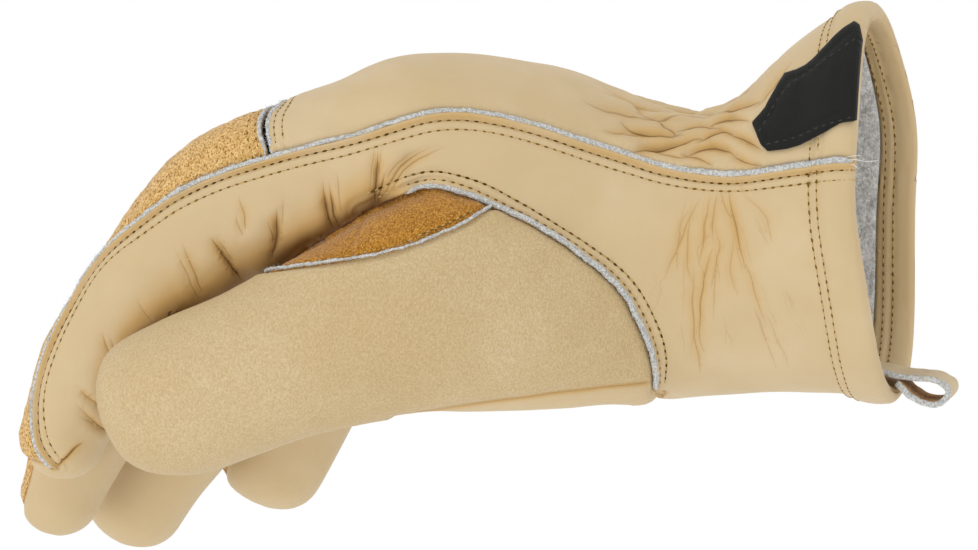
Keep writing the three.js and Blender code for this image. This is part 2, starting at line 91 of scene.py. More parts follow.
# The hand: x, y, z is the middle of a section, w its half width, up and down its half heights
HAND = table(
    "x y z w up down power roll",
    (0, 0, 0, 38, 50, 47.6, 2.2, 0),
    (-10, 0, 0, 37.4, 47.6, 46, 2.2, 0),
    (-19, 0, 0, 36.5, 42.6, 45.6, 2.2, 1),
    (-28, 0, -1, 35.4, 36.2, 44.8, 2.2, 2),
    (-35, 0, -3, 34.6, 31, 43.2, 2.2, 3),
    (-42, 0, -4.5, 34.2, 28.2, 42.4, 2.2, 4),
    (-49, 0, -5, 34.6, 28, 42.6, 2.2, 5),
    (-56, 0, -5, 36, 29, 42.8, 2.2, 6),
    (-66, 0, -4, 39, 32, 40, 2.25, 8),
    (-78, 0, -1, 43, 34, 38, 2.3, 10),
    (-92, 0, 3, 47.5, 32.2, 34.5, 2.3, 12),
    (-106, 0, 6, 50.5, 29.6, 30, 2.35, 13.5),
    (-120, 0, 6.5, 51.4, 26.6, 26, 2.4, 15),
    (-132, 0, 4.5, 51.2, 21.8, 22, 2.4, 16.5),
    (-142, -0.5, 2.5, 50, 19.6, 18, 2.4, 17),
    (-149, -1, 0.5, 47.5, 16, 14, 2.4, 17),
    (-153, -1.5, -0.5, 44, 10, 8.5, 2.3, 17),
)
# The mouth leans and the knuckles lie on an arc: the shift along X for each millimetre of height and width
TILT_Z = -0.06
TILT_Y = 0.045
TILT_LENGTH = 30.0
ARC_START = -88.0
ARC_LENGTH = 50.0
ARC_LEAN = 0.3

# The power of the fingers' superellipse sections
FINGER_POWER = 2.15


def finger_of(dome, gap, *rows):
    """A finger: its dome's length, the gaps to its neighbours at the roots and the tips, and its sections."""
    return {"dome": dome, "gap": gap, "rows": table("x y z t w", *rows)}


# The fingers: x, y, z is the middle of a section, t its half thickness from back to palm, w its half width
FINGERS = {
    "index": finger_of(
        11.5, ((-FAR, -FAR), (-26.0, -27.8)),
        (-110, -38, 10, 15, 14), (-124, -38.6, 8.6, 17.4, 14.6), (-138, -39, 6.2, 20, 14.8),
        (-148, -39.2, 3.6, 20.4, 14.4), (-156.6, -39.5, 0.6, 18.6, 13.6), (-164, -40, -6.2, 17.6, 13.4),
        (-171, -40.3, -13.2, 15.8, 13.2), (-178, -40.6, -21.4, 14.6, 13), (-185, -40.9, -29.6, 13.3, 12.9),
        (-190.6, -41.1, -38.6, 13.3, 12.8), (-195.1, -41.3, -47.6, 11.9, 12.6),
        (-198.1, -41.5, -55.2, 10.6, 12.1),
    ),
    "middle": finger_of(
        12.5, ((-26.0, -27.8), (0.5, 0.2)),
        (-122, -12.5, 9, 12.6, 12), (-139, -12.5, 9.5, 14, 12.6), (-151, -12.6, 7.4, 15.2, 12.7),
        (-161.5, -12.8, 0.6, 14.1, 12.7), (-170.5, -13, -7.4, 14, 12.7), (-178.5, -13.2, -16.8, 13.9, 12.6),
        (-185.5, -13.4, -27, 13.8, 12.6), (-191.8, -13.6, -37.8, 13.7, 12.5), (-197, -13.8, -49.2, 13, 12.4),
        (-202.7, -14, -61, 12.3, 12.2), (-206.7, -14.2, -71.8, 10.2, 11.8),
    ),
    "ring": finger_of(
        13.0, ((0.5, 0.2), (26.0, 28.4)),
        (-116, 13.5, 5, 16, 12.4), (-132, 13.5, 4, 16.4, 12.8), (-143.5, 13.6, -2, 15.4, 12.7),
        (-153, 13.8, -11.6, 14.5, 12.6), (-161, 14, -22.6, 13.6, 12.5), (-168, 14.2, -33.8, 13.5, 12.4),
        (-175, 14.4, -45.2, 13.9, 12.5), (-181.8, 14.6, -56.8, 14.3, 12.5), (-189.6, 14.8, -67.6, 13.8, 12.5),
        (-196, 15, -77.4, 13, 12.4),
    ),
    "little": finger_of(
        12.0, ((26.0, 28.4), (FAR, FAR)),
        (-104, 36, -2, 14, 12), (-120, 37.4, -4.4, 14.6, 12.2), (-131.6, 38.2, -12.4, 14, 12),
        (-140.6, 39, -23.2, 13, 11.8), (-148, 39.6, -35, 12.8, 11.6), (-154.6, 40.2, -47.4, 14, 11.6),
        (-161.4, 40.8, -59.4, 14.4, 11.5), (-167.2, 41.4, -70.6, 14.2, 11.4),
    ),
}

# The thumb, in sections square to X: w is its half thickness and h its half height
THUMB_POWER = 2.25
THUMB = table(
    "x y z w h",
    (-46, -14, -28, 8, 5),
    (-54, -20, -28, 12, 18.6),
    (-64, -27.5, -25.6, 14.8, 21.6),
    (-76, -34.8, -24, 16.8, 23.6),
    (-90, -41.4, -21.8, 17.6, 26),
    (-104, -47, -21.4, 18, 26.6),
    (-118, -51.5, -25.4, 18.2, 24.8),
    (-132, -55, -30.8, 18, 22.6),
    (-146, -57.5, -37, 17.4, 21.2),
    (-158, -59.2, -41.9, 16.6, 20.4),
    (-168, -60.2, -44.1, 15.2, 18.3),
    (-175, -60.8, -44.4, 12.8, 15),
    (-179.5, -61, -43.2, 9.6, 10.4),
    (-182, -61, -42.6, 5.2, 5.4),
)

# Seams as x and z seen from the side, from the cuff to the fingertip
INDEX_SEAM = line_of(
    (12, 13.2), (-1.5, 13), (-8.2, 12.7), (-15.7, 11.7), (-24.2, 10.4), (-32.6, 9.1), (-40.3, 9.3),
    (-51, 10.9), (-60, 13.8), (-70, 17), (-79.7, 20.4), (-88.8, 22.8), (-97.3, 24.3),
    (-105.1, 23.9), (-112.5, 21.7), (-119.5, 19.3), (-128.4, 17), (-135.7, 15.1), (-148.4, 11.4),
    (-158.3, 7.9), (-168.6, 2.7), (-178.7, -4.9), (-184.8, -9.8), (-190.1, -16.4), (-196.1, -27.5),
    (-199.7, -35), (-201.6, -41.5), (-202.3, -48), (-201.8, -54.5), (-200.6, -58.6),
    (-197.6, -62.8),
)
# Its stretch on the hand runs to the first X, the finger's from the second to the tip
HAND_SEAM_TO = -168.6
FINGER_SEAM_FROM = -119.5
INDEX_TIP = (-203, -62)
MIDDLE_SEAM = line_of((12, 6), (-100, -4), (-122, 4), (-140, 1), (-152, -8))
OUTER_SEAM = line_of(
    (12, 6), (-12, 4), (-30, -4), (-48, -8), (-66, -8), (-86, -7), (-106, -6), (-122, -8), (-138, -20),
)
# Height of the seams beside the finger backs, as a share of the half thickness: at the root and at the tip
FINGER_SEAM_LIFT = {"index": (0.33, 0.4), "middle": (0.8, 0.72), "ring": (0.7, 0.76), "little": (0.64, 0.64)}
THUMB_SEAM = line_of(
    (-53, -62), (-53, -43.5), (-52.8, -37), (-55.1, -28), (-61, -16.5), (-73.3, -6), (-89.5, 2.6),
    (-97.9, 5.9), (-104, 7.1), (-109.4, 5.2), (-114, 3.1), (-120, 0.4),
)
# The thumb is free beyond this X, and the skin up to this share of its form belongs to it
THUMB_FREE_X = -120.0
THUMB_SPARE = 1.07
# Where the thumb's panels end towards the palm, as x and y
THUMB_FOOT = line_of((-130, -27), (-96, -27), (-60, -13), (-30, -6))
GUSSET_SEAM = line_of(
    (-88, 3.2), (-92, 0), (-98, -3.2), (-108, -7.2), (-116, -9), (-124, -10.3), (-132, -11.4),
    (-138, -12.6), (-144, -14.4),
)
# The corners that close the gusset's outline over its seam
GUSSET_CORNERS = [(-146, 30), (-80, 30), (-80, 9)]
UNDER_SEAM = line_of((-30, -40.4), (-51, -41.4), (-75, -43.6), (-98, -46.4), (-116, -50), (-138, -55.5))

# The stretch band's middle line across the knuckles, as y and x
KNUCKLES = line_of(
    (-75, -141), (-56, -142), (-52.6, -142.8), (-49.7, -144.9), (-45, -145.5), (-39, -145),
    (-30, -145.4), (-12, -147), (14, -141), (40, -131), (75, -124),
)
# Half width of the gap that shows the band, and the Y and length over which it closes
BAND_HALF = 0.75
BAND_END = -54.5
BAND_TAPER = 6.0

# The label over the back edge of the mouth, in x and z
LABEL = line_of(
    (-28.9, 21.3), (-25.7, 25), (-23.7, 29.2), (-21.8, 33), (-19.1, 33.8), (-16.7, 35),
    (-14.6, 36.4), (-10.9, 39.6), (-8, 42.2), (-5.6, 44), (-4.2, 43.4), (-3, 40), (-2.7, 34),
    (-2.7, 28), (-3, 23.2), (-3.8, 22), (-6.8, 21.6), (-10.7, 19.4), (-16.8, 16.7), (-20.1, 15.7),
    (-24.8, 15.1), (-26.4, 16.4),
)
# The two rows of stitches along the label's edges, as x and z
LABEL_BORDER = (
    line_of((-27, 20.2), (-22.6, 28.6), (-20, 31.4), (-9.2, 38.6), (-5.4, 41.6)),
    line_of((-5, 23.4), (-11, 21.6), (-19, 18.2), (-24.6, 17)),
)

# The pull loop's middle line in x and z, from the root of its top strand round to the other
LOOP = line_of(
    (-8, -38.6), (0, -39.6), (4, -40.5), (8, -40.9), (11, -41), (13.8, -41.8), (16, -44),
    (13.8, -46.9), (9.6, -46.9), (6.6, -45.2), (4.9, -43.6), (3.2, -42.1),
)
LOOP_WIDTH = 17.0
LOOP_LEATHER = 1.5

# Thread ends at the mouth end of the main seam
LOOSE_THREADS = (
    ((-7, -37.4, 13.2), (-3.6, -38.2, 13.6), (-1, -38.6, 13.2), (2.4, -38.4, 13.4)),
    ((-7, -37.4, 12.9), (-4, -38, 12.4), (-2.6, -38.2, 11.4)),
    ((-7, -37.3, 13.6), (-4.2, -38, 14.4), (-2, -38, 14.5)),
)

# Folds pressed into the near side: start, middle and end in x and z, the depth, the width of the swell beside
# the fold, and how dark its painted shade is. The folds of the fingers run from a fine start to a deep end.
FOLD_COLUMNS = "x0 z0 x1 z1 x2 z2 depth width dark"
FOLDS = table(
    FOLD_COLUMNS,
    (-157.5, -6, -155, -9.5, -151.7, -16.5, 1.2, 2.4, 1),
    (-156, -6, -154, -8.5, -152.5, -11.5, 0.4, 1.2, 0.5),
    (-140.5, 1.5, -141, -3.5, -143, -11, 1.2, 2.6, 1),
    (-143, -1.5, -142.6, -4.5, -142.5, -7, 0.3, 1, 0.6),
    (-139, 4.5, -139, 0.5, -139.5, -3, 0.2, 1, 0.3),
    (-150, 4.5, -149.5, 1, -148.5, -3.5, 0.25, 1.4, 0.45),
    (-151, 0.5, -150.5, -2.5, -149, -5, 0.2, 1, 0.35),
    (-165, -7, -163, -11.5, -160.5, -19, 0.5, 1.8, 0.55),
    (-167, -8, -164.5, -13, -161.5, -20.5, 0.35, 1.4, 0.4),
    (-129.6, 9, -129, 2.5, -127.8, -5, 1.3, 2.2, 1),
    (-128, 8.5, -127.3, 2.5, -126.4, -5, 0.8, 1.6, 1),
    (-126, 11, -125.5, 6.5, -125, 1, 0.3, 1.2, 0.4),
    (-115, 17.5, -115.5, 13, -115.6, 10, 0.2, 1, 0.45),
    (-116.5, 16.5, -116.4, 10, -117.5, 1, 1, 2, 1),
    (-117.5, 16.5, -117.5, 13, -118.2, 6, 0.25, 1, 0.4),
    (-114, 10.5, -115, 7.5, -117, 1.5, 0.6, 1.4, 0.8),
    (-98.5, 16, -106.5, 13, -112.4, 6.5, 0.4, 1.6, 0.5),
    (-102, 16.5, -109, 12.5, -114.2, 5.5, 0.5, 1.6, 0.6),
    (-105, 16.5, -110, 13, -113.5, 9, 0.3, 1.2, 0.4),
    (-192, -46, -188.5, -50.5, -185.5, -54.5, 0.4, 1.2, 0.6),
    (-192, -49, -188, -52, -185, -54.6, 0.35, 1, 0.5),
    (-191, -42, -189, -44.5, -185.5, -48.5, 0.35, 1.2, 0.5),
    (-184.5, -28.5, -183.5, -32, -181, -35, 0.4, 1.2, 0.5),
    (-183, -29.5, -181.5, -32.5, -179.5, -34.5, 0.3, 1, 0.45),
    (-176, -20, -174.5, -23.5, -172, -27, 0.3, 1.4, 0.35),
)

# The dart at the fingertip, and fine creases that fan down the cuff, with painted shade: both fade out at
# both ends
CREASES = table(
    FOLD_COLUMNS,
    (-197.6, -63.4, -194, -59.9, -190.4, -56.4, 0.35, 0.55, 1.2),
    (-41.5, 3.5, -46.2, -7, -48.5, -15, 0.15, 1.4, 0.42),
    (-39, 4.5, -40.5, -4.4, -41.5, -12, 0.15, 1.4, 0.42),
    (-35, 5.5, -32.7, -3.4, -29.7, -14, 0.18, 1.6, 0.6),
    (-30.4, -10, -28, -18, -25.8, -27, 0.15, 1.6, 0.42),
    (-30.5, 4.5, -25.2, -0.8, -23.4, -7, 0.12, 1.4, 0.32),
    (-42.8, -12, -43, -28, -43.4, -40, 0.18, 1.6, 0.55),
    (-38.5, -8, -41, -20.6, -41.6, -36, 0.18, 1.6, 0.6),
    (-36.6, 5.5, -35.4, 1, -32.8, -2.6, 0.12, 1.2, 0.4),
    (-44, 1, -46.6, -6, -46, -14, 0.12, 1.2, 0.36),
    (-37.8, -3, -37, -11, -39, -18, 0.12, 1.2, 0.36),
    (-37.4, 5, -38.4, -1, -38.6, -8, 0.12, 1.2, 0.36),
    (-43.5, -2, -44.6, -9, -43, -17, 0.1, 1.2, 0.36),
    (-36, -10, -37.4, -17, -38, -26, 0.1, 1.2, 0.32),
    (-33, -4, -33.4, -12, -31.6, -20, 0.1, 1.2, 0.3),
    (-28.4, -22, -26.2, -30, -24.4, -38, 0.1, 1.2, 0.32),
    (-25.4, -24, -22.8, -31, -21.4, -38, 0.1, 1.2, 0.3),
)

# Valleys, with painted shade, between the lobes that the elastic draws up on the near side of the wrist
VALLEYS = table(
    FOLD_COLUMNS,
    (-72, 27, -61, 23.6, -50, 21.8, 0.7, 2.6, 0.5),
    (-60, 24.8, -51, 21.9, -39, 23.2, 0.9, 2.2, 0.7),
    (-62.5, 22, -55, 18.5, -46.5, 19, 1.1, 2.6, 0.85),
    (-49.5, 19, -43.5, 20, -37, 19.4, 0.8, 2, 0.7),
    (-66, 19.8, -60, 19, -53, 18.4, 0.6, 2, 0.5),
    (-58.5, 13.8, -51, 15.5, -41, 17.6, 1.3, 2.6, 1),
    (-43, 16.2, -38.5, 18.6, -33, 17.8, 1.1, 2.4, 0.9),
    (-35.5, 18.4, -31, 17.2, -26, 15.2, 0.9, 2.2, 0.8),
    (-45.5, 13.2, -39.5, 15.2, -33, 13.4, 1.1, 2.2, 0.9),
    (-34.5, 13.9, -31, 12.6, -26, 11.8, 0.7, 1.8, 0.7),
    (-46.5, 14, -42.5, 12.6, -38.5, 11, 0.6, 1.6, 0.7),
    (-42, 20.2, -36.5, 21.6, -29, 21.4, 1, 2.2, 0.8),
    (-41, 23.2, -34.5, 24.6, -28, 28, 1, 2.2, 0.8),
    (-56, 23, -51.5, 20, -46.5, 17.8, 0.5, 1.6, 0.6),
    (-54, 14.8, -48.5, 13.4, -44.5, 13, 0.5, 1.4, 0.6),
    (-30, 25, -26, 30, -21, 36, 0.6, 2, 0.5),
)


# Small shapes and measures


def at(rows, place):
    """Every column of a table at fractional rows, on a Catmull-Rom curve through the rows."""
    place = np.asarray(place, float)
    last = len(rows["x"]) - 1
    i = np.clip(np.floor(place).astype(int), 0, last - 1)
    f = place - i

    def blend(column):
        a, b, c, d = (column[np.clip(i + k, 0, last)] for k in (-1, 0, 1, 2))
        return b + 0.5 * f * (c - a + f * (2 * a - 5 * b + 4 * c - d + f * (3 * (b - c) + d - a)))

    return {name: blend(column) for name, column in rows.items()}


def superellipse(angle, power):
    """Points of a superellipse with half sizes of 1."""
    c, s = np.cos(angle), np.sin(angle)
    return np.sign(c) * np.abs(c) ** (2 / power), np.sign(s) * np.abs(s) ** (2 / power)


def around(sides):
    """The angles of that many points all round a section."""
    return np.linspace(0, 2 * math.pi, sides, endpoint=False)


def unit(rows):
    """The rows of an array, scaled to length 1."""
    return rows / np.maximum(np.linalg.norm(rows, axis=1), TINY)[:, None]


def step(x, low, high):
    """Smooth rise from 0 at low to 1 at high."""
    t = np.clip((x - low) / (high - low), 0, 1)
    return t * t * (3 - 2 * t)


def hump(x, middle, width):
    """1 at the middle, and smoothly down to 0 on both sides."""
    return np.exp(-(((x - middle) / width) ** 2))


# The glove's forms as rings of points


def places_of(rows, spacing=0.25):
    """Fractional rows all along a table, up to its last row."""
    return np.arange(0, len(rows["x"]) - 1 + TINY, spacing)


def hand_rings(places, sides):
    """Rings of the hand at fractional rows."""
    row = {name: value[:, None] for name, value in at(HAND, places).items()}
    c, s = superellipse(around(sides)[None], row["power"])
    y = c * row["w"]
    z = s * np.where(s > 0, row["up"], row["down"])
    roll = np.radians(row["roll"])
    lean = np.maximum(0, 1 + row["x"] / TILT_LENGTH) * (TILT_Z * z + TILT_Y * y)
    arc = np.clip((ARC_START - row["x"]) / ARC_LENGTH, 0, 1)
    return np.stack(
        [
            row["x"] + lean + arc * ARC_LEAN * np.maximum(0, y),
            row["y"] + y * np.cos(roll) + z * np.sin(roll),
            row["z"] - y * np.sin(roll) + z * np.cos(roll),
        ],
        -1,
    )


# A share of a row, to measure directions over
NEXT_TO = 0.05
# How far the rings of a fingertip's dome lie along it, and the power of its roundness
DOME = np.array([0, 0.25, 0.45, 0.62, 0.75, 0.86, 0.94, 0.985])
DOME_POWER = 2.4
RING_STEP = 0.25


def finger_frame(rows, place):
    """Centres and directions of a finger: along it, and out of its back."""
    last = len(rows["x"]) - 1
    row = at(rows, place)
    before = at(rows, np.maximum(place - NEXT_TO, 0))
    after = at(rows, np.minimum(place + NEXT_TO, last))
    along = np.stack([after["x"] - before["x"], 0 * place, after["z"] - before["z"]], -1)
    along = unit(along)
    back = np.stack([along[:, 2], 0 * place, -along[:, 0]], -1)
    return np.stack([row["x"], row["y"], row["z"]], -1), along, back, row


def finger_rings(finger, sides):
    """Rings of a finger, and of the dome at its tip."""
    rows = finger["rows"]
    last = len(rows["x"]) - 1
    place = np.concatenate([np.arange(0, last, RING_STEP), np.full(len(DOME), float(last))])
    share = np.concatenate([np.zeros(len(place) - len(DOME)), DOME])
    centre, along, back, row = finger_frame(rows, place)
    shrink = np.sqrt(1 - share**DOME_POWER)
    c, s = superellipse(around(sides), FINGER_POWER)
    middle = centre + along * (share * finger["dome"])[:, None]
    across = (row["w"] * shrink)[:, None] * c[None]
    up = (row["t"] * shrink)[:, None] * s[None]
    return middle[:, None] + across[..., None] * np.array([0, 1, 0]) + up[..., None] * back[:, None]


def thumb_rings(sides):
    """Rings of the thumb, square to X."""
    row = {name: value[:, None] for name, value in at(THUMB, places_of(THUMB)).items()}
    c, s = superellipse(around(sides), THUMB_POWER)
    return np.stack([row["x"] + 0 * c, row["y"] + row["w"] * c, row["z"] + row["h"] * s], -1)


def loft(rings):
    """Closed mesh through rings of points, with a fan over each end: its points and its triangles."""
    count, sides = rings.shape[:2]
    points = np.concatenate([rings.reshape(-1, 3), rings[0].mean(0)[None], rings[-1].mean(0)[None]])
    r, k = np.indices((count - 1, sides))
    a, b = (r * sides + k).ravel(), (r * sides + (k + 1) % sides).ravel()
    side = np.concatenate([np.stack([a, b, a + sides], 1), np.stack([b, b + sides, a + sides], 1)])
    edge = np.stack([np.arange(sides), (np.arange(sides) + 1) % sides], 1)
    first = np.column_stack([np.full(sides, count * sides), edge[:, ::-1]])
    last = np.column_stack([np.full(sides, count * sides + 1), edge + (count - 1) * sides])
    faces = np.concatenate([side, first, last])
    tri = points[faces]
    volume = np.einsum("ij,ij->i", tri[:, 0], np.cross(tri[:, 1], tri[:, 2])).sum()
    return points, faces if volume > 0 else faces[:, ::-1]


# Meshes as arrays: rows of vertex data that start with a point, and triangles


def triangles_of(mesh):
    """A Blender mesh's points and triangles, in its own unit."""
    mesh.calc_loop_triangles()
    faces = np.empty(len(mesh.loop_triangles) * 3, np.int32)
    mesh.loop_triangles.foreach_get("vertices", faces)
    points = np.empty(len(mesh.vertices) * 3, np.float32)
    mesh.vertices.foreach_get("co", points)
    return points.reshape(-1, 3).astype(float), faces.reshape(-1, 3).astype(int)


def placed(name, data):
    """A new object in the scene."""
    made = bpy.data.objects.new(name, data)
    bpy.context.scene.collection.objects.link(made)
    return made


def baked(holder):
    """The plain mesh that an object's modifiers give. The object is removed."""
    graph = bpy.context.evaluated_depsgraph_get()
    made = bpy.data.meshes.new_from_object(holder.evaluated_get(graph))
    bpy.data.objects.remove(holder)
    return made


def joined(parts):
    """Several meshes as one: its points and its triangles."""
    start = np.cumsum([0] + [len(points) for points, _ in parts])
    faces = [faces + first for (_, faces), first in zip(parts, start)]
    return np.concatenate([points for points, _ in parts]), np.concatenate(faces)


def mesh_from(name, points, faces, slots=None, attributes=None):
    """A Blender mesh of smooth triangles, from points in millimetres."""
    mesh = bpy.data.meshes.new(name)
    mesh.vertices.add(len(points))
    mesh.vertices.foreach_set("co", (np.asarray(points) * MM).astype(np.float32).ravel())
    mesh.loops.add(len(faces) * 3)
    mesh.loops.foreach_set("vertex_index", np.asarray(faces, np.int32).ravel())
    mesh.polygons.add(len(faces))
    mesh.polygons.foreach_set("loop_start", np.arange(0, len(faces) * 3, 3, dtype=np.int32))
    mesh.polygons.foreach_set("use_smooth", np.ones(len(faces), bool))
    if slots is not None:
        mesh.polygons.foreach_set("material_index", np.asarray(slots, np.int32))
    for key, values in (attributes or {}).items():
        mesh.attributes.new(key, "FLOAT", "POINT").data.foreach_set("value", np.asarray(values, np.float32))
    mesh.update()
    mesh.validate()
    return mesh


def crosses(tri):
    """For each triangle the vector square to it, twice its area long."""
    return np.cross(tri[:, 1] - tri[:, 0], tri[:, 2] - tri[:, 0])


def with_normals(points, faces):
    """A mesh's points with their normals beside them, as the columns of one array."""
    flat = crosses(points[faces])
    out = np.zeros_like(points)
    for k in range(3):
        for axis in range(3):
            out[:, axis] += np.bincount(faces[:, k], flat[:, axis], len(points))
    return np.hstack([points, unit(out)])


def sides_of(faces):
    """The three directed edges of every triangle."""
    return np.concatenate([faces[:, [0, 1]], faces[:, [1, 2]], faces[:, [2, 0]]])


def edges_of(faces):
    """Unique edges, and for each triangle the number of each of its three edges."""
    edges, index = np.unique(np.sort(sides_of(faces), axis=1), axis=0, return_inverse=True)
    return edges, index.reshape(3, -1).T


# Each round of smoothing pulls points towards their neighbours, then pushes them back farther
SMOOTH_PULLS = (0.5, -0.53)


def smooth(points, faces, rounds):
    """Evens out a mesh without shrinking it."""
    edges, _ = edges_of(faces)
    a, b = edges.T
    count = np.bincount(edges.ravel(), minlength=len(points))[:, None]
    for pull in SMOOTH_PULLS * rounds:
        total = np.zeros_like(points)
        for axis in range(3):
            total[:, axis] = np.bincount(a, points[b, axis], len(points))
            total[:, axis] += np.bincount(b, points[a, axis], len(points))
        points = points + pull * (total / np.maximum(count, 1) - points)
    return points


# How a triangle is split: 0 to 2 are its corners and 3 to 5 the middles of its edges. The key is the sum of
# 1, 2 and 4 for the edges that are cut.
SPLITS = {
    0: [(0, 1, 2)],
    1: [(0, 3, 2), (3, 1, 2)],
    2: [(0, 1, 4), (0, 4, 2)],
    4: [(0, 1, 5), (5, 1, 2)],
    3: [(3, 1, 4), (0, 3, 4), (0, 4, 2)],
    6: [(4, 2, 5), (0, 1, 4), (0, 4, 5)],
    5: [(0, 3, 5), (3, 1, 2), (3, 2, 5)],
    7: [(0, 3, 5), (3, 1, 4), (5, 4, 2), (3, 4, 5)],
}


def refine(data, faces, near):
    """Splits every edge whose two ends are near something, in the middle."""
    edges, index = edges_of(faces)
    cut = near[edges].all(1)
    number = np.full(len(edges), -1)
    number[cut] = len(data) + np.arange(cut.sum())
    data = np.concatenate([data, data[edges[cut]].mean(1)])
    middles = number[index]
    key = (middles >= 0) @ np.array([1, 2, 4])
    corners = np.column_stack([faces, middles])
    made = [corners[key == cuts][:, list(split)] for cuts, splits in SPLITS.items() for split in splits]
    return data, np.concatenate(made)


# A cut keeps clear of a triangle's corners: by this share of the edge, and by this much of the field
CORNER_SHARE = 0.02
CORNER_FIELD = 1e-6


def clip(data, faces, field):
    """Keeps what lies where a field is positive, cut along its zero line."""
    field = np.where(np.abs(field) < CORNER_FIELD, CORNER_FIELD, field)
    edges, index = edges_of(faces)
    ends = field[edges]
    crossing = (ends[:, 0] > 0) != (ends[:, 1] > 0)
    share = ends[crossing, 0] / (ends[crossing, 0] - ends[crossing, 1])
    share = np.clip(share, CORNER_SHARE, 1 - CORNER_SHARE)
    a, b = data[edges[crossing, 0]], data[edges[crossing, 1]]
    number = np.full(len(edges), -1)
    number[crossing] = len(data) + np.arange(crossing.sum())
    data = np.concatenate([data, a + (b - a) * share[:, None]])
    cuts = number[index]
    keep = field[faces] > 0
    kept = keep.sum(1)
    made = [faces[kept == 3]]
    for k in range(3):
        one = (kept == 1) & keep[:, k]
        made.append(np.stack([faces[one, k], cuts[one, k], cuts[one, k - 1]], 1))
        two = (kept == 2) & ~keep[:, k]
        after, before = faces[two, (k + 1) % 3], faces[two, k - 1]
        made.append(np.stack([cuts[two, k], after, before], 1))
        made.append(np.stack([cuts[two, k], before, cuts[two, k - 1]], 1))
    return trimmed(data, np.concatenate(made))


def trimmed(data, faces):
    """The same triangles, with only the points that they use."""
    used, faces = np.unique(faces, return_inverse=True)
    return data[used], faces.reshape(-1, 3)


def largest(data, faces):
    """The largest connected body of a mesh."""
    label = np.arange(len(data))
    edges, _ = edges_of(faces)
    while True:
        low = np.minimum(label[edges[:, 0]], label[edges[:, 1]])
        new = label.copy()
        np.minimum.at(new, edges[:, 0], low)
        np.minimum.at(new, edges[:, 1], low)
        new = new[new]
        if (new == label).all():
            break
        label = new
    body = label[faces[:, 0]]
    return trimmed(data, faces[body == np.bincount(body).argmax()])


def rim_edges(faces):
    """Directed edges that only one triangle has."""
    sides = sides_of(faces)
    _, index, count = np.unique(np.sort(sides, axis=1), axis=0, return_inverse=True, return_counts=True)
    return sides[count[index.ravel()] == 1]


# Repeatable randomness

# Large factors that scramble whole numbers
SCRAMBLE = np.array([73856093, 19349663, 83492791])
SCRAMBLE_SEED = 40503
SCRAMBLE_AGAIN = 1274126177
LOW_BITS = 0xFFFFFF


def scramble(cell, seed):
    """A repeatable number from 0 to 1 for each row of three whole numbers."""
    mixed = np.bitwise_xor.reduce(cell * SCRAMBLE, axis=-1) ^ (seed * SCRAMBLE_SEED)
    mixed = (mixed ^ (mixed >> 13)) * SCRAMBLE_AGAIN
    mixed = mixed ^ (mixed >> 16)
    return (mixed & LOW_BITS) / LOW_BITS


def lumps(points, size, seed):
    """Smooth random height from -1 to 1, with lumps about that size."""
    place = np.asarray(points, float) / size
    cell = np.floor(place).astype(np.int64)
    share = place - cell
    share = share * share * (3 - 2 * share)
    total = np.zeros(len(place))
    for corner in np.ndindex(2, 2, 2):
        at_corner = np.array(corner)
        weight = np.prod(np.where(at_corner, share, 1 - share), axis=1)
        total += weight * scramble(cell + at_corner, seed)
    return 2 * total - 1


# How far the centres of random cells stray from a grid, and how far every second row of it is moved over
CELL_STRAY = 0.7
CELL_STAGGER = 0.5


def cells(u, v, seed):
    """Distance from a cell's edge for random cells of about one by one, from 0 to about 1."""
    grid = np.stack([np.floor(u), np.floor(v)], -1).astype(np.int64)
    found = []
    for move in np.ndindex(3, 3):
        cell = grid + np.array(move) - 1
        key = np.column_stack([cell, np.zeros(len(cell), np.int64)])
        centre_u = cell[:, 0] + 0.5 + CELL_STRAY * (scramble(key, seed) - 0.5)
        centre_u += CELL_STAGGER * (cell[:, 1] % 2)
        centre_v = cell[:, 1] + 0.5 + CELL_STRAY * (scramble(key, seed + 7) - 0.5)
        found.append(np.hypot(u - centre_u, v - centre_v))
    found = np.sort(np.stack(found), axis=0)
    return found[1] - found[0]


# Fields that say on which side of a seam a point lies: positive inside the panel, in millimetres


def inside(outline, u, v):
    """Distance in from a flat outline, negative outside it."""
    best = np.full(len(u), np.inf)
    within = np.zeros(len(u), bool)
    for (u0, v0), (u1, v1) in zip(outline, np.roll(outline, -1, axis=0)):
        du, dv = u1 - u0, v1 - v0
        t = np.clip(((u - u0) * du + (v - v0) * dv) / (du * du + dv * dv), 0, 1)
        best = np.minimum(best, np.hypot(u - u0 - t * du, v - v0 - t * dv))
        if dv:
            level = (v0 > v) != (v1 > v)
            within ^= level & (u < u0 + (v - v0) * du / dv)
    return np.where(within, best, -best)


def above(line):
    """The outline of everything over a line."""
    return np.concatenate([line, [(line[-1][0], FAR), (line[0][0], FAR)]])


# Spacing of the points that fields measure from, and that seams are cast from
LINE_STEP = 2.5
SEAM_STEP = 0.5


@lru_cache(maxsize=1)
def index_line():
    """The index seam in short straight pieces: the stretch along the hand, and the one along the finger."""
    line = curve_through(INDEX_SEAM, LINE_STEP)
    return line[line[:, 0] > HAND_SEAM_TO], line[line[:, 0] < FINGER_SEAM_FROM]


# How far the mouth's edge sinks in on the near side, and how far it stands out on the far side
NEAR_DIP = 1.7
FAR_RISE = 2.5


def mouth_dip(p):
    """How far the mouth's edge sinks in: on the near side it does, on the far side it stands out."""
    near = NEAR_DIP * hump(p[:, 2], 3, 17) * step(-p[:, 1], 18, 34)
    far = FAR_RISE * hump(p[:, 2], 20, 19) * step(p[:, 1], -4, 22)
    return near - far


def from_mouth(p):
    """How far a point lies from the tilted mouth, along the cuff."""
    lean = TILT_Z * p[:, 2] + TILT_Y * p[:, 1]
    return -(p[:, 0] + mouth_dip(p) - lean) / (1 + lean / TILT_LENGTH)


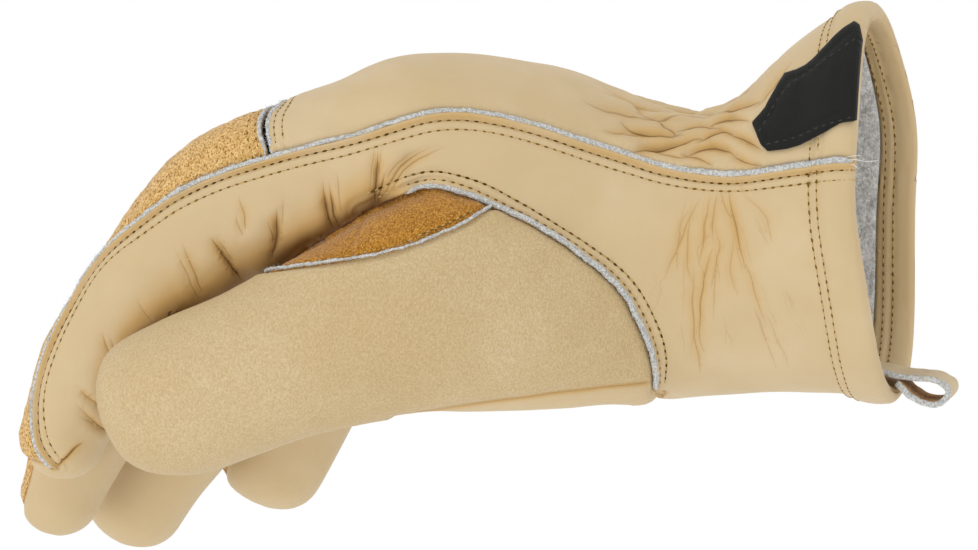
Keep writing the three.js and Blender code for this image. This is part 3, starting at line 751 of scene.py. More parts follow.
# The back panel's three strips, one for each seam: how far they overlap, and the outer one's Y
STRIP_OVERLAP = 6.0
OUTER_STRIP = 26.0


def back_field(p):
    """The back of the hand: over the seams of the near side, the middle and the far side."""
    x, y, z = p[:, :3].T
    near = np.minimum(inside(above(index_line()[0]), x, z), STRIP_OVERLAP - y)
    middle = np.minimum(inside(above(MIDDLE_SEAM), x, z), y + STRIP_OVERLAP)
    middle = np.minimum(middle, OUTER_STRIP + STRIP_OVERLAP - y)
    outer = np.minimum(inside(above(OUTER_SEAM), x, z), y - OUTER_STRIP + STRIP_OVERLAP)
    return np.maximum.reduce([near, middle, outer])


# A finger's back reaches this far past its tip, and this far over its middle
PAST_TIP = 40.0
OVER_BACK = 45.0
# Where a gap between fingers goes over from its place at their roots to that at their tips, along -X
GAP_TURNS = (145, 172)
# How far the index finger's near and far halves reach over each other
HALF_OVERLAP = 3.0


def finger_back_field(p, name):
    """The back of one finger, over its seams and between its neighbours."""
    x, y, z = p[:, :3].T
    finger = FINGERS[name]
    rows = finger["rows"]
    centre, along, back, _ = finger_frame(rows, np.arange(len(rows["x"])).astype(float))
    centre = np.vstack([centre, centre[-1] + along[-1] * PAST_TIP])
    back = np.vstack([back, back[-1]])
    lift = rows["t"] * np.linspace(*FINGER_SEAM_LIFT[name], len(rows["t"]))
    line = (centre + back * np.append(lift, lift[-1])[:, None])[:, [0, 2]]
    high = (centre + back * OVER_BACK)[:, [0, 2]]
    over = inside(np.concatenate([line, high[::-1]]), x, z)
    low, top = [root + (tip - root) * step(-x, *GAP_TURNS) for root, tip in finger["gap"]]
    if name != "index":
        return np.minimum.reduce([over, y - low, top - y])
    middle = rows["y"][0]
    seam = index_line()[1]
    side = np.concatenate([seam, [INDEX_TIP, (-2 * FAR, INDEX_TIP[1]), (-2 * FAR, FAR), (seam[0][0], FAR)]])
    near = np.minimum(inside(side, x, z), middle + HALF_OVERLAP - y)
    far = np.minimum.reduce([over, y - middle + HALF_OVERLAP, top - y])
    return np.maximum(near, far)


@lru_cache(maxsize=1)
def knuckle_line():
    """The stretch band's middle line as y and x, in the order of y."""
    line = curve_through(KNUCKLES, SEAM_STEP)
    return line[np.argsort(line[:, 0])]


def knuckle(p):
    """Distance along X from the stretch band's middle line, positive towards the cuff."""
    line = knuckle_line()
    return p[:, 0] - np.interp(p[:, 1], line[:, 0], line[:, 1])


def band_half(y):
    """Half width of the gap that shows the stretch band: a lens that closes at the near end."""
    return BAND_HALF * np.sqrt(np.clip((y - BAND_END) / BAND_TAPER, 0.12, 1))


def thumb_radius(p):
    """1 on the thumb's own form, more outside it; and its smaller half size there."""
    x, y, z = p[:, :3].T
    order = np.argsort(THUMB["x"])
    middle_y, middle_z, w, h = (np.interp(x, THUMB["x"][order], THUMB[key][order]) for key in "yzwh")
    powers = np.abs((y - middle_y) / w) ** THUMB_POWER + np.abs((z - middle_z) / h) ** THUMB_POWER
    return powers ** (1 / THUMB_POWER), np.minimum(w, h)


def thumb_field(p):
    """The thumb's panels: their root inside the thumb seam, and their free end on the thumb's own form."""
    x, y, z = p[:, :3].T
    corner = (THUMB_FREE_X - 1, THUMB_SEAM[0][1])
    side = np.concatenate([curve_through(THUMB_SEAM[1:], LINE_STEP), [corner, THUMB_SEAM[0]]])
    foot = np.interp(x, THUMB_FOOT[:, 0], THUMB_FOOT[:, 1]) - y
    root = np.minimum(inside(side, x, z), foot)
    radius, size = thumb_radius(p)
    free = np.minimum((THUMB_SPARE - radius) * size, THUMB_FREE_X + 0.5 - x)
    return np.maximum(root, free)


def gusset_field(p):
    """Over the gusset's seam, on the near side."""
    x, y, z = p[:, :3].T
    outline = np.concatenate([curve_through(GUSSET_SEAM, 3.0), GUSSET_CORNERS])
    return np.minimum(inside(outline, x, z), -y)


def under_field(p):
    """Under the seam along the bottom of the thumb."""
    line = UNDER_SEAM[::-1]
    return np.interp(p[:, 0], line[:, 0], line[:, 1], left=-FAR) - p[:, 2]


# The glove's skin


# How finely the hand's rings lie, the points round each form, and how far the hand runs on past the mouth
HAND_RING_STEP = 1 / 6
HAND_SIDES = 144
THUMB_SIDES = 72
FINGER_SIDES = 64
MOUTH_SPARE = 6.0
SMOOTH_ROUNDS = 10


@lru_cache(maxsize=1)
def skin():
    """The glove's whole outer surface, smooth and open at the mouth: points and triangles."""
    hand = hand_rings(places_of(HAND, HAND_RING_STEP), HAND_SIDES)
    hand = np.concatenate([hand[:1] + np.array([MOUTH_SPARE, 0, 0]), hand])
    parts = [loft(hand), loft(thumb_rings(THUMB_SIDES))]
    parts += [loft(finger_rings(finger, FINGER_SIDES)) for finger in FINGERS.values()]
    holder = placed("forms", mesh_from("forms", *joined(parts)))
    union = holder.modifiers.new("union", "REMESH")
    union.mode = "VOXEL"
    union.voxel_size = bpy.context.scene.glove_sizes.mesh_size
    whole = baked(holder)
    points, faces = triangles_of(whole)
    bpy.data.meshes.remove(whole)
    points = smooth(points / MM, faces, SMOOTH_ROUNDS)
    return largest(*clip(points, faces, from_mouth(points)))


# Seam lines on the skin


# Points worked out between two points of a line, before they are spaced evenly
CURVE_POINTS = 40


def curve_through(line, spacing):
    """Evenly spaced points on a Catmull-Rom curve through a line of points."""
    line = np.asarray(line, float)
    rows = {"x": line[:, 0], **{str(k): line[:, k] for k in range(1, line.shape[1])}}
    fine = at(rows, np.linspace(0, len(line) - 1, CURVE_POINTS * (len(line) - 1) + 1))
    return even(np.stack(list(fine.values()), -1), spacing)


def run_length(points):
    """Length run along a line of points, at each of them."""
    return np.concatenate([[0], np.cumsum(np.linalg.norm(np.diff(points, axis=0), axis=1))])


def even(points, spacing):
    """The same line with evenly spaced points."""
    length = run_length(points)
    places = np.linspace(0, length[-1], max(int(round(length[-1] / spacing)), 2) + 1)
    return np.stack([np.interp(places, length, column) for column in points.T], -1)


def soften(rows, rounds):
    """Evens out a line of rows in place, between its two ends."""
    for _ in range(rounds):
        rows[1:-1] = 0.25 * rows[:-2] + 0.5 * rows[1:-1] + 0.25 * rows[2:]


# Rounds of evening out for the points of a seam on the near side, and for the normals of any seam
POINT_ROUNDS = 20
NORMAL_ROUNDS = 60


class Seam:
    """A line on a surface: its points, the surface's normals there, and the length run along it."""

    def __init__(self, points, tree, rounds=3):
        self.points = even(np.asarray(points), SEAM_STEP)
        soften(self.points, rounds)
        normals = np.array([tree.find_nearest(Vector(p))[1] for p in self.points])
        soften(normals, NORMAL_ROUNDS)
        self.normals = unit(normals)
        self.side = np.cross(unit(np.gradient(self.points, axis=0)), self.normals)
        self.length = run_length(self.points)
        self.index = KDTree(len(self.points))
        for i, p in enumerate(self.points):
            self.index.insert(p, i)
        self.index.balance()

    def measure(self, points, reach):
        """For each point: distance from the seam, inf where out of reach, and length along it."""
        low, high = self.points.min(0) - reach, self.points.max(0) + reach
        distance, run = np.full(len(points), np.inf), np.zeros(len(points))
        close = np.flatnonzero(((points > low) & (points < high)).all(1))
        if not len(close):
            return distance, run
        nearest = np.array([self.index.find(points[k])[1] for k in close], int)
        p = points[close]
        best = np.full(len(close), np.inf)
        for before in (-1, 0):
            i = np.clip(nearest + before, 0, len(self.points) - 2)
            a, b = self.points[i], self.points[i + 1]
            t = np.clip(np.einsum("ij,ij->i", p - a, b - a) / np.einsum("ij,ij->i", b - a, b - a), 0, 1)
            gap = np.linalg.norm(p - a - (b - a) * t[:, None], axis=1)
            better = gap < best
            best[better] = gap[better]
            run[close[better]] = (self.length[i] + t * (self.length[i + 1] - self.length[i]))[better]
        distance[close] = np.where(best < reach, best, np.inf)
        return distance, run

    def shifted(self, by):
        """The line moved sideways over the surface."""
        by = np.asarray(by, float) * np.ones(len(self.points))
        return self.points + self.side * by[:, None]


def cast(tree, starts, direction, accept):
    """Where rays meet a surface, in the longest unbroken run of accepted hits."""
    hits = []
    runs = [hits]
    for start in starts:
        place, _, _, _ = tree.ray_cast(Vector(start), Vector(direction))
        if place is not None and accept(place):
            hits.append(np.array(place))
        elif hits:
            hits = []
            runs.append(hits)
    return np.array(max(runs, key=len))


@lru_cache(maxsize=1)
def skin_tree():
    """The skin as a search tree."""
    points, faces = skin()
    return BVHTree.FromPolygons(points.tolist(), faces.tolist())


# The X where the thumb's foot seam ends, and the points round the mouth's edge
FOOT_END = -54.0
RIM_SIDES = 720


@lru_cache(maxsize=1)
def seams():
    """Every seam as a line on the skin. Only the hits on the right side of a Y, an X or a Z belong to it."""
    tree = skin_tree()

    def from_near(line, nearer_than, before=FAR):
        starts = [(x, -FAR, z) for x, z in curve_through(line, SEAM_STEP)]
        points = cast(tree, starts, (0, 1, 0), lambda p: p.y < nearer_than and p.x < before)
        return Seam(points, tree, POINT_ROUNDS)

    def from_above(shift):
        starts = [(x + shift * band_half(y), y, FAR) for y, x in knuckle_line()]
        points = cast(tree, starts, (0, 0, -1), lambda p: back_field(np.array([p]))[0] > 0)
        return Seam(points, tree)

    outer = [(x, FAR, z) for x, z in curve_through(OUTER_SEAM, SEAM_STEP)]
    foot = [(x, y, -FAR) for x, y in curve_through(THUMB_FOOT, SEAM_STEP) if THUMB_FREE_X < x < FOOT_END]
    rim = hand_rings(np.array([0.0]), RIM_SIDES)[0]
    rim[:, 0] -= mouth_dip(rim)
    return {
        "main": from_near(INDEX_SEAM, -12, 0.6),
        "thumb": from_near(THUMB_SEAM[1:], -8),
        "gusset": from_near(GUSSET_SEAM, -20),
        "under": from_near(UNDER_SEAM, -10, -53.5),
        "outer": Seam(cast(tree, outer, (0, -1, 0), lambda p: p.y > 10), tree),
        "foot": Seam(cast(tree, foot, (0, 0, 1), lambda p: p.z < -20), tree),
        "knuckle_finger": from_above(-1),
        "knuckle_cuff": from_above(1),
        "rim": Seam(np.vstack([rim, rim[:1]]), tree),
    }


# Height of the surface over the plain skin

# The hem: how far it reaches from the mouth outside and inside, how it swells, where its rows of stitches
# run, and the radius of the mouth's edge
HEM_LENGTH = 11.6
HEM_BULGE = 1.5
HEM_ROWS = (8.9, 11.0)
HEM_GROOVE = 0.35
INNER_HEM = 9.2
INNER_BULGE = 0.7
INNER_ROWS = (5.4, 7.8)
INNER_GROOVE = 0.5
INNER_THICK = 1.4
HEM_POWER = 0.8
RIM_ROUND = 1.7
GROOVE_WIDTH = 0.55

# Where the two rows of stitches lie in the profiles of the laps
LAP_ROWS = (1.9, 4.0)
THUMB_ROWS = (1.8, 3.6)
STITCH_PITCH = 2.2
# The leather is drawn in at each stitch: by how much, and where that starts and ends beside a seam
PUCKER = 0.05
PUCKER_STARTS = (0.6, 1.4)
PUCKER_ENDS = (2.4, 3.6)

# How a panel that laps over its neighbour runs away from its raw edge: distance and height
PROFILE_COLUMNS = "reach height"
LAP = table(
    PROFILE_COLUMNS,
    (0, 0.5), (0.5, 0.95), (1.1, 0.7), (1.9, -0.15), (2.7, 0.32), (3.2, 0.3), (4, -0.12), (5, 0.12), (7.5, 0),
)
THUMB_LAP = table(
    PROFILE_COLUMNS,
    (0, 0.4), (0.5, 0.6), (1.8, -0.05), (2.7, 0.3), (3.6, -0.15), (4.6, 0.12), (6.4, 0),
)
# How the panel under it runs away from the seam, and a panel beside the stretch band
TUCKED = table(PROFILE_COLUMNS, (0, -0.9), (0.8, -0.5), (1.8, 0.1), (3, 0.22), (5, 0))
TWO_ROWS = table(
    PROFILE_COLUMNS,
    (0, 0.1), (0.8, 0.25), (1.7, -0.12), (2.6, 0.25), (3.7, -0.12), (4.8, 0.1), (7, 0),
)
TWO_ROWS_GROOVES = (1.7, 3.7)
# How far from the main and outer seams their two rows of stitches run, at several X
LAP_PLACES = table(
    "x first second",
    (-205, 1.1, 3),
    (-170, 1.3, 3.5),
    (-140, 1.4, 3.75),
    (-112, 1.9, 4.2),
    (-60, 2, 4.3),
    (-36, 1.9, 3.7),
    (-10, 1.9, 4.2),
)


def lap_rows(p):
    """How far from a lapped seam its two rows of stitches run."""
    return [np.interp(p[:, 0], LAP_PLACES["x"], LAP_PLACES[key]) for key in ("first", "second")]


def lap_reach(p, distance):
    """A distance from a lapped seam, stretched so that the rows lie where the profile has its grooves."""
    first, second = lap_rows(p)
    beyond = LAP_ROWS[0] + (distance - first) * (LAP_ROWS[1] - LAP_ROWS[0]) / (second - first)
    return np.where(distance < first, distance * LAP_ROWS[0] / first, beyond)


def relief(profile, distance, run):
    """Height from a profile, with the leather drawn in at each stitch."""
    height = np.interp(distance, profile["reach"], profile["height"])
    fade = 1 - step(distance, *PUCKER_ENDS)
    ripple = np.cos(2 * math.pi * run / STITCH_PITCH) * PUCKER * fade * step(distance, *PUCKER_STARTS)
    return np.where(np.isfinite(distance), height + ripple, 0.0)


def near_side(normals):
    """1 where the surface faces the near side, 0 where it turns away."""
    return step(-normals[:, 1], 0.02, 0.35)


# A fold's straight pieces, how many widths it reaches, and the distance that stands for no fold near
FOLD_PIECES = 12
FOLD_REACH = 4
NO_FOLD = 9.0
# How dark the painted shade beside a fold's core is, where it runs to a deep end and where it fades at both
# ends
DEEP_SHADE = 0.98
FINE_SHADE = 0.8


def wandering(start, p, seed):
    """A coordinate of the points, moved about a little so that pressed lines aren't straight."""
    return start + 0.7 * lumps(p, 7, seed) + 0.22 * lumps(p, 2.6, seed + 1)


def beside(line, x, z):
    """For each point: distance from a line, the share of the line run, and the side of it."""
    best, where, side = np.full(len(x), np.inf), np.zeros(len(x)), np.zeros(len(x))
    for i, (a, d) in enumerate(zip(line, np.diff(line, axis=0))):
        u, v = x - a[0], z - a[1]
        s = np.clip((u * d[0] + v * d[1]) / (d @ d), 0, 1)
        u, v = u - s * d[0], v - s * d[1]
        gap = np.hypot(u, v)
        closer = gap < best
        best[closer], where[closer] = gap[closer], ((i + s) / FOLD_PIECES)[closer]
        side[closer] = (d[0] * v - d[1] * u)[closer]
    return best, where, side


def fold_strength(where, rising):
    """Strength of a fold along its course: rising to a deep end, or fading out at both ends."""
    if rising:
        return step(where, -0.05, 0.6) * (1 - 0.3 * step(where, 0.93, 1))
    return np.sin(math.pi * np.clip(where, 0.004, 0.996)) ** 0.6


def pressed(data, rows, rising, mask):
    """Folds pressed into a panel: height, painted shade, distance from the nearest fold, and how sharp its
    painted core is.
    """
    p = data[:, :3]
    x, z = wandering(p[:, 0], p, 61), wandering(p[:, 2], p, 63)
    height, hollow = np.zeros(len(x)), np.zeros(len(x))
    core, keen = np.full(len(x), NO_FOLD), np.zeros(len(x))
    t = np.linspace(0, 1, FOLD_PIECES + 1)
    weights = np.stack([(1 - t) * (1 - 2 * t), 4 * t * (1 - t), t * (2 * t - 1)], 1)
    shade = DEEP_SHADE if rising else FINE_SHADE
    for x0, z0, x1, z1, x2, z2, depth, width, dark in zip(*rows.values()):
        line = weights @ np.array([(x0, z0), (x1, z1), (x2, z2)])
        low, high = line.min(0) - FOLD_REACH * width - 1, line.max(0) + FOLD_REACH * width + 1
        k = np.flatnonzero((mask > 0) & (x > low[0]) & (x < high[0]) & (z > low[1]) & (z < high[1]))
        gap, where, side = beside(line, x[k], z[k])
        strength = fold_strength(where, rising) * mask[k]
        valley = 0.6 * hump(gap, 0, 0.3 + 0.22 * width) + 0.4 * np.exp(-gap / width)
        swell = hump(gap, 1.7 * width, 1.1 * width)
        height[k] += depth * strength * (0.5 * swell - valley)
        # Painted shade: the colour darkens beside the fold, most at its core
        hollow[k] = np.maximum(hollow[k], strength * dark * shade * np.exp(-gap / (0.25 + 0.6 * width)))
        # A thin painted dark line of shade along the fold's core, and the distance from it
        sharp = strength * dark * hump(gap, 0, 0.5)
        sharper = sharp > keen[k]
        core[k[sharper]] = np.where(side < 0, -gap, gap)[sharper]
        keen[k[sharper]] = sharp[sharper]
    return height, hollow, core, keen


# The painted shade in the valley beside the thumb: its strength, the distance it fades over, its greatest
# value, and the value from which the palm's inner face is dark leather that stands in for shade
SHADE_STRENGTH = 2.2
SHADE_FADE = 4.2
SHADE_MOST = 1.2
VALLEY_SHADE = 0.2


def thumb_shade(p):
    """Painted shade in the valley beside the thumb for a point of the near side, from 0 to SHADE_MOST."""
    radius, size = thumb_radius(p)
    gap = np.maximum(radius - 1, 0) * size
    x, y, z = p[:, :3].T
    over = SHADE_STRENGTH * step(z, -70, -40) * step(-y, 24, 36)
    along = step(-x, 106, 116) * (1 - 0.3 * step(-x, 160, 182)) * (1 - step(-x, 182, 189))
    blot = 0.85 + 0.2 * lumps(p, 8, 45)
    return np.minimum(over * along * blot * np.exp(-gap / SHADE_FADE), SHADE_MOST)


# How much darker a patch of the cuff is made, and how much of their painted darkness the creases' cores keep
CUFF_PATCH_DARKNESS = 0.2
CREASE_CORE = 0.82


def fold_height(data):
    """Folds, creases and their painted shade, painted shade beside the thumb and a darker patch, on the near
    side's panel.
    """
    p, normals = data[:, :3], data[:, 3:6]
    mask = near_side(normals) * (p[:, 1] < -10)
    deep = pressed(data, FOLDS, True, mask * (p[:, 1] < -30))
    fine = pressed(data, CREASES, False, mask)
    closer = fine[3] > deep[3]
    # A patch of the cuff is made darker, through the same tones as the painted shade
    dark_patch = CUFF_PATCH_DARKNESS * mask * hump(p[:, 0], -38, 12) * hump(p[:, 2], -6, 14)
    hollow = np.maximum.reduce([deep[1], fine[1], thumb_shade(p)]) + dark_patch
    keen = np.maximum(deep[3], CREASE_CORE * fine[3])
    return deep[0] + fine[0], hollow, np.where(closer, fine[2], deep[2]), keen


# The gathers across the back of the wrist: the size of a lobe along X and round the wrist, its height, and
# the share of it below the plain skin
LOBE_LENGTH = 17.0
LOBE_WIDTH = 5.4
LOBE_HEIGHT = 2.8
LOBE_SUNK = 0.62
# The wrist they are drawn round: the elastic's X, the X their pattern starts from, the height of the wrist's
# middle and its radius
ELASTIC_X = -47.0
GATHER_X = -44.0
WRIST_Z = -5.0
WRIST_RADIUS = 33.0


def gather_cells(p):
    """How far from the nearest valley of the gathers a point lies, from 0 to about 1."""
    round_wrist = np.arctan2(p[:, 2] - WRIST_Z, p[:, 1]) * WRIST_RADIUS
    warp = 2.2 * lumps(p, 9, 3)
    return cells((p[:, 0] - GATHER_X + 0.6 * warp) / LOBE_LENGTH, (round_wrist + warp) / LOBE_WIDTH, 5)


def gather_height(data):
    """Lobes that the elastic draws up across the back of the wrist, and the valleys between them with painted
    shade.
    """
    p, normals = data[:, :3], data[:, 3:6]
    x, y, z = p.T
    lobe = gather_cells(p)
    puff = np.sqrt(np.clip(lobe / 0.7, 0, 1))
    reach = np.exp(-(((x - ELASTIC_X) / 20) ** 4))
    label = step(inside(LABEL, x, z), -2.5, 1.5) * (y < 0)
    near = near_side(normals) * (1 - step(y, -16, -8))
    amount = reach * (1 - 0.85 * label) * (1 - 0.92 * near)
    height = amount * LOBE_HEIGHT * (puff - LOBE_SUNK)
    drawn, hollow, core, keen = pressed(data, VALLEYS, False, near * (1 - 0.8 * label))
    # Painted shade low between the lobes, where the valleys lie
    hollow = np.maximum(hollow, amount * np.clip(1.1 - 1.6 * puff, 0, 1))
    ripple = 0.3 * lumps(p * np.array([0.45, 1, 1]), 2.4, 46) * reach * (1 - label)
    return height + 1.25 * drawn + ripple, np.clip(hollow, 0, 1), core, keen


def soft_form(p):
    """Slow unevenness of sewn leather that is filled from inside."""
    return 0.45 * lumps(p, 21, 41) + 0.22 * lumps(p, 9, 42)


def rounded_edge(reach):
    """How far a face turns in where it runs out to the mouth."""
    return RIM_ROUND * (1 - np.sqrt(1 - np.clip((RIM_ROUND - reach) / RIM_ROUND, 0, 1) ** 2))


def grooves(reach, rows, depth):
    """Depth of the grooves that rows of stitches draw in."""
    return sum(depth * hump(reach, row, GROOVE_WIDTH) for row in rows)


def hem_height(reach):
    """Puff of the folded hem, the rounding at the mouth, and the hem's two stitched grooves."""
    puff = HEM_BULGE * np.sin(math.pi * np.clip(reach / HEM_LENGTH, 0, 1)) ** HEM_POWER
    return puff - rounded_edge(reach) - grooves(reach, HEM_ROWS, HEM_GROOVE)


def base_height(p):
    """Height that every panel shares at a point: its softness and the hem."""
    return soft_form(p) + hem_height(from_mouth(p))


def closed_wall(data, faces, outer, inner, slots=(0, 0, 0)):
    """A closed wall from a piece of the skin: its points moved out to one height and in to another."""
    points, normals = data[:, :3], data[:, 3:6]
    count = len(points)
    top, bottom = points + normals * outer[:, None], points + normals * inner[:, None]
    start, end = rim_edges(faces).T
    side = [np.stack([end, start, start + count], 1), np.stack([end, start + count, end + count], 1)]
    parts = (faces, faces[:, ::-1] + count, np.concatenate(side))
    slot = np.concatenate([np.full(len(part), number) for part, number in zip(parts, slots)])
    return np.vstack([top, bottom]), np.concatenate(parts), slot


def add_piece(name, mesh, materials=(), nodes=(), slot=None):
    """Puts a finished piece in the scene with its materials, parents it to the root body, and hides the given
    parts.
    """
    piece = placed(name, mesh)
    for material in materials:
        mesh.materials.append(material)
    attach(piece, "root")
    if nodes:
        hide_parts(*nodes)
    return piece


# Materials


class Value:
    """A socket that can be used in sums, each of which adds a Math node."""

    def __init__(self, maker, socket):
        self.maker, self.socket = maker, socket

    def __add__(self, other):
        return self.maker.math("ADD", self, other)

    def __sub__(self, other):
        return self.maker.math("SUBTRACT", self, other)

    def __rsub__(self, other):
        return self.maker.math("SUBTRACT", other, self)

    def __mul__(self, other):
        return self.maker.math("MULTIPLY", self, other)

    def __pow__(self, other):
        return self.maker.math("POWER", self, other)

    def within(self, low, high):
        """Smooth rise from 0 at low to 1 at high."""
        inputs = {"Value": self, "From Min": low, "From Max": high}
        return self.maker.node("ShaderNodeMapRange", {"interpolation_type": "SMOOTHSTEP"}, inputs)

    __radd__ = __add__
    __rmul__ = __mul__


class Graph:
    """Adds nodes to a node tree."""

    def node(self, kind, settings, inputs, output=0):
        """Adds a node, and gives one of its outputs."""
        node = self.tree.nodes.new(kind)
        for key, value in settings.items():
            setattr(node, key, value)
        for key, value in inputs.items():
            self.feed(node.inputs[key], value)
        return Value(self, node.outputs[output])

    def feed(self, socket, value):
        """Links a socket to a value, or sets it to a plain number, vector or colour."""
        if isinstance(value, Value):
            self.tree.links.new(value.socket, socket)
        else:
            socket.default_value = value

    def math(self, operation, *values):
        return self.node("ShaderNodeMath", {"operation": operation}, dict(enumerate(values)))


class Maker(Graph):
    """Builds one node material."""

    def __init__(self, name):
        self.material = bpy.data.materials.new(name)
        self.material.use_nodes = True
        self.tree = self.material.node_tree
        self.shader = self.tree.nodes["Principled BSDF"]
        self.place = self.node("ShaderNodeTexCoord", {}, {}, "Object")

    def mix(self, factor, first, second):
        """A colour between two colours."""
        return self.node("ShaderNodeMix", {"data_type": "RGBA"}, {0: factor, 6: first, 7: second}, 2)

    def stretched(self, scale):
        return self.node("ShaderNodeMapping", {}, {"Vector": self.place, "Scale": scale})

    def noise(self, size, detail=3.0, roughness=0.55, vector=None, distortion=0.0):
        """Noise with features about that many metres across."""
        inputs = {"Vector": vector or self.place, "Scale": 1 / size, "Detail": detail, "Roughness": roughness}
        return self.node("ShaderNodeTexNoise", {}, {**inputs, "Distortion": distortion})

    def cells(self, size, vector=None, feature="F1"):
        """Random cells about that many metres across."""
        inputs = {"Vector": vector or self.place, "Scale": 1 / size}
        return self.node("ShaderNodeTexVoronoi", {"feature": feature}, inputs)

    def parts(self, vector):
        """X, Y and Z of a vector."""
        apart = self.node("ShaderNodeSeparateXYZ", {}, {0: vector})
        return [Value(self, output) for output in apart.socket.node.outputs]

    def attribute(self, name):
        return self.node("ShaderNodeAttribute", {"attribute_name": name}, {}, "Fac")

    def bump(self, height, distance, strength, below=None):
        """A bumped normal, on top of another where one is given."""
        inputs = {"Height": height, "Distance": distance, "Strength": strength}
        if below is not None:
            inputs["Normal"] = below
        return self.node("ShaderNodeBump", {}, inputs)

    def finish(self, base, rough, shine, sheen=0.0, normal=None):
        """Feeds the surface's own inputs, and gives the finished material."""
        inputs = {"Base Color": base, "Roughness": rough, "Specular IOR Level": shine, "Sheen Weight": sheen}
        if normal is not None:
            inputs["Normal"] = normal
        for key, value in inputs.items():
            self.feed(self.shader.inputs[key], value)
        return self.material


def tone(*colour):
    """A display colour from 0 to 255 as Blender's linear colour."""
    share = np.array(colour, float) / 255
    out = np.where(share <= 0.04045, share / 12.92, ((share + 0.055) / 1.055) ** 2.4)
    return (*out.tolist(), 1.0)


def tint(name):
    return tuple(getattr(bpy.context.scene.glove_colours, name)) + (1.0,)


# The fan of creases on the cuff starts here, as x and z in metres
FAN_X = -0.040
FAN_Z = 0.024


def cuff_creases(m):
    """Fine creases that fan down the near side of the cuff from where the elastic ends, from 0 to 1."""
    across, _, up = m.parts(m.place)
    dx, dz = across - FAN_X, FAN_Z - up
    angle = m.math("ARCTAN2", dx, dz)
    reach = (dx * dx + dz * dz) ** 0.5
    waver = m.noise(0.006, 2)
    fan = m.node("ShaderNodeCombineXYZ", {}, {"X": angle * 9.0 + waver * 0.5, "Y": reach * 15 + waver})
    line = 1 - m.cells(1, fan, "DISTANCE_TO_EDGE").within(0.0, 0.045)
    patch = m.noise(0.009, 1).within(0.4, 0.6)
    _, toward, _ = m.parts(m.node("ShaderNodeNewGeometry", {}, {}, "Normal"))
    facing = 1 - toward.within(-0.5, -0.1)
    fade = reach.within(0.010, 0.02) * (1 - reach.within(0.05, 0.066))
    sides = angle.within(-0.36, -0.2) * (1 - angle.within(0.42, 0.62))
    return line * patch * facing * fade * sides


# Tones that the leather's colour runs over to: its own pale and sallow patches, painted shade, and grain gaps
PALE_TAN = tone(207, 187, 152)
SALLOW_TAN = tone(192, 162, 110)
GOLDEN_PAINTED_SHADE = tone(190, 148, 76)
DEEP_PAINTED_SHADE = tone(98, 62, 18)
CREASE_PAINTED_SHADE = tone(150, 112, 52)
PEBBLE_TAN = tone(164, 134, 82)
# How much finer the thumb's grain and the smooth panels' wrinkles are along X and Y than along Z
GRAIN_STRETCH = (1.0, 1.0, 0.75)
WRINKLE_STRETCH = (1.0, 1.0, 0.35)


def leather(name, color, grained):
    """Tan leather: smooth, or pebbled as on the thumb."""
    m = Maker(name)
    blotch = m.noise(0.030, 3).within(0.35, 0.68)
    cloud = m.noise(0.009, 4).within(0.3, 0.7)
    hollow = m.attribute("hollow")
    fold = (1 - m.math("ABSOLUTE", m.attribute("core")).within(0.04, 0.27)) * m.attribute("keen")
    base = m.mix(blotch * 0.5, tint(color), PALE_TAN)
    base = m.mix(cloud * 0.16, base, SALLOW_TAN)
    # Painted shade in hollows, folds and beside seams: golden, and deep brown where it is strongest
    base = m.mix(hollow.within(0.0, 0.6) * 0.72, base, GOLDEN_PAINTED_SHADE)
    base = m.mix(hollow.within(0.35, 1.2) * 0.97, base, DEEP_PAINTED_SHADE)
    if grained:
        streak = m.noise(0.00042, 1, 0.5, m.stretched(GRAIN_STRETCH)).within(0.38, 0.62)
        pebble = m.cells(0.00055, m.stretched(GRAIN_STRETCH)).within(0.3, 0.9)
        gap = streak * 0.6 + pebble * 0.4
        base = m.mix(gap * 0.5, base, PEBBLE_TAN)
        normal = m.bump(1 - gap, 0.00015, 0.6)
    else:
        crease = cuff_creases(m)
        wrinkle = m.noise(0.0035, 3, 0.6, m.stretched(WRINKLE_STRETCH), 0.6)
        pores = m.bump(m.noise(0.0006, 2), 0.00006, 0.5)
        normal = m.bump(1 - crease * 0.5, 0.0002, 0.5, m.bump(wrinkle, 0.0002, 0.45, pores))
        # Painted shade in the fine creases that fan down the cuff
        base = m.mix(crease * 0.16, base, CREASE_PAINTED_SHADE)
    # A thin painted dark line of shade along the cores of folds and creases
    base = m.mix(fold * 0.85, base, DEEP_PAINTED_SHADE)
    return m.finish(base, 0.52 + m.noise(0.004, 2) * 0.14, 0.3, 0.06, normal)


def suede(name, color, light, dark, nap_size):
    """Napped split leather: fine grains of a lighter and a darker tone, and worn patches."""
    m = Maker(name)
    nap = m.noise(nap_size, 2, 0.6)
    grain = m.noise(nap_size * 0.8, 2, 0.6, m.stretched((1.3, 0.9, 1.1)))
    patch = m.noise(0.007, 3).within(0.32, 0.68)
    dark_patch = m.noise(0.0016, 3, 0.65).within(0.5, 0.66)
    base = m.mix(patch * 0.3, color, light)
    base = m.mix(dark_patch * 0.3, base, dark)
    base = m.mix(nap.within(0.46, 0.6) * 0.9, base, light)
    base = m.mix(grain.within(0.5, 0.62) * 0.9, base, dark)
    # Painted shade beside seams and edges
    base = m.mix(m.attribute("hollow").within(0.1, 1.1) * 0.6, base, tone(118, 72, 20))
    return m.finish(base, 0.95, 0.12, 0.2, m.bump(nap * 0.7 + dark_patch * 0.3, 0.0004, 0.8))


def raw_edge():
    """Pale napped edges of cut leather."""
    m = Maker("raw_leather_edge")
    fibre = m.noise(0.0005, 3, 0.7)
    patch = m.noise(0.004, 2)
    base = m.mix(fibre.within(0.38, 0.62), tone(160, 160, 157), tint("raw_edge"))
    base = m.mix(patch.within(0.55, 0.75) * 0.25, base, tone(206, 190, 158))
    return m.finish(base, 1.0, 0.1, 0.3, m.bump(fibre, 0.0003, 0.6))


